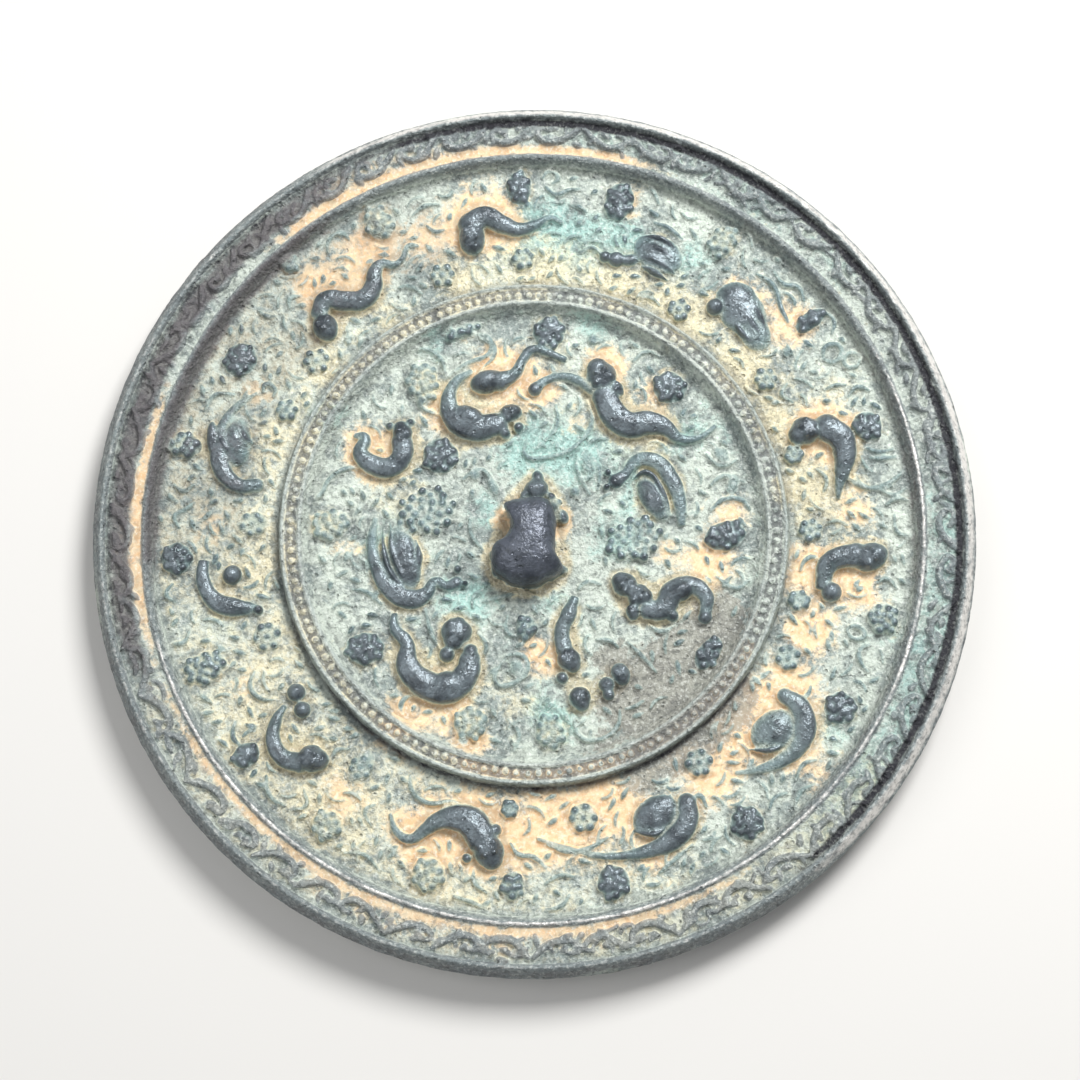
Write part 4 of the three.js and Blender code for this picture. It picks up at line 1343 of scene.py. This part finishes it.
# Cast grain: pits, fine lumps, dark specks and pale flecks, for the back and the polished face alike
grain = {
    "coarseScale": 0.36,
    "otherScale": 0.71,
    "pitScale": 0.5,
    "pitEdges": (0.35, 0.05),
    "pitAreas": (0.5, 0.62),
    "speckEdges": (0.5, 0.66),
    "fleckEdges": (0.28, 0.42),
}


def grainGroup():
    group = bpy.data.node_groups.new("castGrain", "ShaderNodeTree")
    for name in ("Scale", "Pits"):
        group.interface.new_socket(name, in_out="INPUT", socket_type="NodeSocketFloat")
    for name in ("Height", "Specks", "Flecks"):
        group.interface.new_socket(name, in_out="OUTPUT", socket_type="NodeSocketFloat")
    nodes = Nodes(group)
    given = nodes.add("NodeGroupInput")
    out = nodes.add("NodeGroupOutput")
    place = nodes.add("ShaderNodeTexCoord").outputs["Object"]
    scale = given.outputs["Scale"]
    fine = nodes.noise(place, scale, 3.0, 0.6)
    coarse = nodes.noise(place, nodes.share(scale, grain["coarseScale"]), 3.0, 0.6, 0.3)
    other = nodes.noise(place, nodes.share(scale, grain["otherScale"]), 2.0, 0.6, 0.5)
    cells = nodes.add("ShaderNodeTexVoronoi")
    nodes.link(place, cells.inputs["Vector"])
    nodes.link(nodes.share(scale, grain["pitScale"]), cells.inputs["Scale"])
    pits = nodes.ramp(cells.outputs["Distance"], *grain["pitEdges"])
    rough = nodes.math("ADD", nodes.share(fine, 0.5), coarse)
    sunk = nodes.share(nodes.share(pits, nodes.ramp(coarse, *grain["pitAreas"])), given.outputs["Pits"])
    darkened = nodes.math("ADD", other, nodes.share(sunk, 0.2))
    paled = nodes.math("SUBTRACT", fine, nodes.share(other, 0.5))
    nodes.link(nodes.math("SUBTRACT", rough, sunk), out.inputs["Height"])
    nodes.link(nodes.ramp(darkened, *grain["speckEdges"]), out.inputs["Specks"])
    nodes.link(nodes.ramp(paled, *grain["fleckEdges"]), out.inputs["Flecks"])
    return group


castGrain = grainGroup()


def grainIn(nodes, scale, pits):
    node = nodes.add("ShaderNodeGroup", node_tree=castGrain)
    node.inputs["Scale"].default_value = scale
    node.inputs["Pits"].default_value = pits
    return node.outputs["Height"], node.outputs["Specks"], node.outputs["Flecks"]


def newMaterial(name):
    material = bpy.data.materials.new(name)
    material.use_nodes = True
    material.node_tree.nodes.clear()
    nodes = Nodes(material.node_tree)
    shader = nodes.add("ShaderNodeBsdfPrincipled")
    out = nodes.add("ShaderNodeOutputMaterial")
    nodes.link(shader.outputs["BSDF"], out.inputs["Surface"])
    return material, nodes, shader


def grainBump(nodes, shader, height, strength):
    bump = nodes.add("ShaderNodeBump")
    bump.inputs["Strength"].default_value = strength
    bump.inputs["Distance"].default_value = bronze["grainDepth"]
    nodes.feed(bump.inputs["Height"], height)
    nodes.feed(shader.inputs["Normal"], bump.outputs["Normal"])


# Layers of the back, in turn: unevenness added, where a layer starts, where it is full, its strength
layers = {
    "pale": (0.8, 0.34, 0.6, 1.0),
    "teal": (1.6, 0.3, 0.9, 0.8),
    "cream": (1.6, 0.25, 0.85, 0.8),
    "soilTone": (0.0, 0.35, 0.65, 1.0),
    "low": (0.3, 0.3, 0.08, 1.0),
    "halo": (1.4, 0.4, 0.9, 0.85),
    "beadTop": (0.0, 0.0, 0.5, 1.0),
    "soil": (1.5, 0.3, 0.72, 1.0),
    "mud": (1.2, 0.4, 0.52, 0.75),
    "metalTone": (0.0, 0.3, 0.62, 1.0),
    "knob": (0.0, 1.1, 1.5, 1.0),
    "offGround": (0.0, 0.02, 0.2, 1.0),
    "leafTeal": (0.0, 0.14, 0.4, 0.65),
    "tealGrey": (0.0, 0.34, 0.66, 0.8),
    "metal": (0.0, 0.48, 0.98, 0.93),
    # painted shade at the foot of every form
    "foot": (0.8, -0.28, -0.95, 0.38),
    "rim": (1.0, -0.3, 0.12, 0.8),
    "dark": (1.1, 0.25, 0.85, 0.85),
    "ringGround": (1.0, 0.25, -0.2, 0.75),
    "bead": (0.0, 0.3, 1.0, 0.45),
    # painted shadow along the crest and the ring's edges
    "paintedShadow": (0.8, 0.3, 0.7, 1.0),
    # painted highlight and rubbed metal along the crest and the band's line
    "wearAndHighlight": (1.0, 0.4, 0.8, 1.0),
    "gloss": (0.0, 0.34, 0.8, 1.0),
}

# How much of one mask goes into another, and how gloss and soil change the surface
wear = {
    "patchShare": 0.7,
    "brokenShare": 0.6,
    "haloFromHollow": 0.2,
    "soilFromHalo": 0.22,
    "soilFromHollow": 0.08,
    "raisedFromEdges": 0.2,
    "raisedUneven": 0.4,
    "raisedBare": 0.4,
    "veil": 0.34,
    "rimFromEdges": 0.5,
    "ringFromEdges": 0.6,
    # strength of the painted highlight and rubbed metal on the band's line and the crest
    "lineShine": 0.8,
    "shineStrength": 0.8,
    "soilCover": 0.8,
    "specks": 0.42,
    "flecks": 0.32,
    "roughness": 0.76,
    "glossSmooth": 0.44,
    "roughUneven": 0.2,
    "metallic": 0.35,
    "glossFlat": 0.6,
}


def finishBack():
    material, nodes, shader = newMaterial("patinatedBack")
    share, add = nodes.share, nodes.plus
    place = nodes.add("ShaderNodeTexCoord").outputs["Object"]
    height, specks, flecks = grainIn(nodes, bronze["grainScale"], bronze["grainPits"])
    blotch = nodes.noise(place, bronze["blotchScale"], 4.0, 0.6)
    patch = nodes.noise(place, bronze["patchScale"], 4.0, 0.62, 0.4)
    broken = nodes.noise(place, bronze["patchScale"] * 2.7, 4.0, 0.65, 0.6)
    uneven = share(nodes.math("SUBTRACT", patch, 0.5), wear["patchShare"])
    uneven = add(uneven, share(nodes.math("SUBTRACT", broken, 0.5), wear["brokenShare"]))

    def layer(name, value):
        gain, low, high, most = layers[name]
        value = nodes.ramp(add(value, share(uneven, gain)) if gain else value, low, high)
        return share(value, most) if most < 1 else value

    rise, hollow, edges = nodes.mask("rise"), nodes.mask("hollow"), nodes.mask("edges")
    halo, rim, ring = nodes.mask("halo"), nodes.mask("rim"), nodes.mask("ring")
    colour = nodes.mix(layer("pale", blotch), bronze["greyPatina"], bronze["palePatina"])
    colour = nodes.mix(layer("teal", nodes.mask("teal")), colour, bronze["teal"])
    colour = nodes.mix(layer("cream", nodes.mask("cream")), colour, bronze["cream"])
    # soil lies low, and most around the tall forms
    soil = nodes.mix(layer("soilTone", broken), bronze["peach"], bronze["paleSoil"])
    around = add(halo, share(hollow, wear["haloFromHollow"]))
    colour = nodes.mix(layer("halo", around), colour, bronze["cream"])
    caught = add(share(halo, wear["soilFromHalo"]), share(hollow, wear["soilFromHollow"]))
    caught = add(nodes.mask("peach"), caught)
    beadless = nodes.rest(share(ring, layer("beadTop", edges)))
    soilShare = share(layer("soil", caught), share(layer("low", rise), beadless))
    colour = nodes.mix(soilShare, colour, soil)
    colour = nodes.mix(layer("mud", nodes.mask("mud")), colour, bronze["mud"])
    # raised parts are rubbed down to dark metal over a blue-grey foot, and the knob most of all
    raised = add(rise, add(share(edges, wear["raisedFromEdges"]), share(uneven, wear["raisedUneven"])))
    metalTone = layer("metalTone", patch)
    metal = nodes.mix(metalTone, bronze["slateDark"], bronze["slate"])
    knobMetal = nodes.mix(metalTone, bronze["knobBlack"], bronze["knobSlate"])
    metal = nodes.mix(layer("knob", rise), metal, knobMetal)
    bareRise = share(share(nodes.mask("bare"), wear["raisedBare"]), layer("offGround", rise))
    raised = share(add(raised, bareRise), nodes.rest(share(nodes.mask("veiled"), wear["veil"])))
    colour = nodes.mix(layer("leafTeal", raised), colour, bronze["leafTeal"])
    colour = nodes.mix(layer("tealGrey", raised), colour, bronze["tealGrey"])
    colour = nodes.mix(layer("metal", raised), colour, metal)
    # painted shade: a dark line in the angle at the foot of every form, where the shade gathers
    colour = nodes.mix(layer("foot", edges), colour, bronze["speckAndShade"])
    # the rim is dark grey with soil left in its low ground, and browner on one side
    rimShare = share(rim, layer("rim", share(edges, wear["rimFromEdges"])))
    colour = nodes.mix(rimShare, colour, bronze["rimGrey"])
    colour = nodes.mix(layer("dark", nodes.mask("dark")), colour, bronze["brown"])
    # the ring's beads and lines are pale, the ground between them dark
    ringGround = share(ring, layer("ringGround", share(edges, wear["ringFromEdges"])))
    colour = nodes.mix(ringGround, colour, bronze["ringGround"])
    colour = nodes.mix(share(ring, layer("bead", edges)), colour, bronze["bead"])
    # painted shadow: near-black bands inside the crest and along the ring's edges
    colour = nodes.mix(layer("paintedShadow", nodes.mask("paintedShadow")), colour, bronze["paintedShadow"])
    # painted highlight, partly rubbed metal: a near-white line along the crest and the band's line, also
    # smoother and more metallic there
    wearAndHighlight = nodes.math("MAXIMUM", nodes.mask("worn"), share(nodes.mask("line"), wear["lineShine"]))
    wearAndHighlight = layer("wearAndHighlight", wearAndHighlight)
    colour = nodes.mix(share(wearAndHighlight, wear["shineStrength"]), colour, bronze["worn"])
    # fine dark specks and pale flecks, fewer on the soil and on the rubbed metal
    gloss = nodes.math("MAXIMUM", layer("gloss", raised), wearAndHighlight)
    paintedShadowOrBrown = nodes.math("MAXIMUM", nodes.mask("paintedShadow"), nodes.mask("dark"))
    bare = nodes.rest(nodes.math("MAXIMUM", gloss, paintedShadowOrBrown))
    # fine dark specks and pale flecks: specks fewer on the soil, flecks fewer on the rubbed metal, the
    # painted highlights, the brown patina and the painted shadow
    unsoiled = nodes.rest(share(soilShare, wear["soilCover"]))
    colour = nodes.mix(share(share(specks, unsoiled), wear["specks"]), colour, bronze["speckAndShade"])
    colour = nodes.mix(share(share(flecks, bare), wear["flecks"]), colour, bronze["fleck"])
    nodes.feed(shader.inputs["Base Color"], colour)
    roughness = nodes.math("SUBTRACT", wear["roughness"], share(gloss, wear["glossSmooth"]))
    roughness = nodes.math("ADD", roughness, share(uneven, wear["roughUneven"]), clamp=True)
    nodes.feed(shader.inputs["Roughness"], roughness)
    nodes.feed(shader.inputs["Metallic"], share(gloss, wear["metallic"]))
    depth = share(unsoiled, nodes.rest(share(gloss, wear["glossFlat"])))
    surface = share(nodes.math("SUBTRACT", height, bronze["grainMean"]), depth)
    grainBump(nodes, shader, surface, bronze["grainStrength"])
    return material


# The face under the mirror was polished once: plainer, smoother, grey-green with dark blooms
def finishFace():
    material, nodes, shader = newMaterial("polishedFace")
    place = nodes.add("ShaderNodeTexCoord").outputs["Object"]
    height, specks, flecks = grainIn(nodes, bronze["grainScale"], bronze["grainPits"])
    bloom = nodes.noise(place, bronze["bloomScale"], 5.0, 0.6, 0.8)
    cloud = nodes.noise(place, bronze["cloudScale"], 4.0, 0.6)
    colour = nodes.mix(nodes.ramp(bloom, 0.35, 0.65), bronze["rimGrey"], bronze["palePatina"])
    colour = nodes.mix(nodes.share(nodes.ramp(cloud, 0.52, 0.7), 0.7), colour, bronze["tealGrey"])
    colour = nodes.mix(nodes.share(specks, 0.3), colour, bronze["speckAndShade"])
    colour = nodes.mix(nodes.share(flecks, 0.15), colour, bronze["fleck"])
    nodes.feed(shader.inputs["Base Color"], colour)
    nodes.feed(shader.inputs["Roughness"], nodes.plus(nodes.share(bloom, 0.3), 0.36))
    nodes.feed(shader.inputs["Metallic"], nodes.share(nodes.ramp(bloom, 0.6, 0.4), 0.5))
    grainBump(nodes, shader, height, bronze["grainStrength"] / 4)
    return material


# Faces that look down, in the lowest part, belong to the polished side
faceFinishTop = 1.5


def partFinishes(piece):
    normals = np.empty(len(piece.data.polygons) * 3)
    middles = np.empty(len(piece.data.polygons) * 3)
    piece.data.polygons.foreach_get("normal", normals)
    piece.data.polygons.foreach_get("center", middles)
    below = (normals[2::3] < -0.5) & (middles[2::3] < faceFinishTop * mm)
    piece.data.polygons.foreach_set("material_index", below.astype(np.int32))


mirror.data.materials.clear()
mirror.data.materials.append(finishBack())
mirror.data.materials.append(finishFace())
partFinishes(mirror)

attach(mirror, "root")
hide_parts("mirror", "knob")
print("mirror finished")


# Plain pale floor, and soft light that falls from the top of the picture
studio = {
    "floorSize": 4.0,
    "floorColour": paint(222, 220, 216),
    "skyColour": paint(225, 228, 232),
    "skyStrength": 0.35,
    "keyPower": 6.35,
    "keySize": 0.28,
    "keyPlace": (0.24, 0.38, 0.56),
    "fillPower": 1.5,
    "fillSize": 0.6,
    "fillPlace": (-0.4, -0.1, 0.6),
}
camera = {
    "target": (0.93, -2.14, 8.0),
    "azimuth": -4.9,
    "elevation": 79.68,
    "roll": -4.9,
    "distance": 454.9,
    "lens": 79.03,
}


def cameraAxes():
    turn, tip, roll = (math.radians(camera[name]) for name in ("azimuth", "elevation", "roll"))
    back = Vector((math.sin(turn) * math.cos(tip), -math.cos(turn) * math.cos(tip), math.sin(tip)))
    right = (-back).cross(Vector((0, 0, 1))).normalized()
    up = right.cross(-back)
    return (right * math.cos(roll) + up * math.sin(roll), up * math.cos(roll) - right * math.sin(roll), back)


def addCamera():
    right, up, back = cameraAxes()
    bpy.ops.object.camera_add()
    view = bpy.context.object
    view.name = "photoCamera"
    turn = Matrix((right, up, back)).transposed().to_4x4()
    place = Vector(camera["target"]) * mm + back * camera["distance"] * mm
    view.matrix_world = Matrix.Translation(place) @ turn
    view.data.lens = camera["lens"]
    view.data.sensor_width = 36
    view.data.clip_start = 0.01
    bpy.context.scene.camera = view


def addLight(name, place, size, power):
    # placed by the picture's own right and up, in metres
    right, up, back = cameraAxes()
    across, upwards, height = place
    place = right * across + up * upwards
    place.z = height
    bpy.ops.object.light_add(type="AREA", location=place)
    light = bpy.context.object
    light.name = name
    light.data.shape = "DISK"
    light.data.size = size
    light.data.energy = power
    light.rotation_euler = (-place).to_track_quat("-Z", "Y").to_euler()


def addFloor():
    bpy.ops.mesh.primitive_plane_add(size=studio["floorSize"], location=(0, 0, -0.02 * mm))
    floor = bpy.context.object
    floor.name = "studioFloor"
    material, nodes, shader = newMaterial("paleFloor")
    shader.inputs["Base Color"].default_value = studio["floorColour"]
    shader.inputs["Roughness"].default_value = 0.9
    floor.data.materials.append(material)


def addSky():
    world = bpy.data.worlds.new("softRoom")
    world.use_nodes = True
    sky = world.node_tree.nodes["Background"]
    sky.inputs["Color"].default_value = studio["skyColour"]
    sky.inputs["Strength"].default_value = studio["skyStrength"]
    bpy.context.scene.world = world


addFloor()
addSky()
addLight("windowLight", studio["keyPlace"], studio["keySize"], studio["keyPower"])
addLight("fillLight", studio["fillPlace"], studio["fillSize"], studio["fillPower"])
addCamera()
bpy.context.scene.view_settings.view_transform = "Standard"
print("floor, light and camera set")
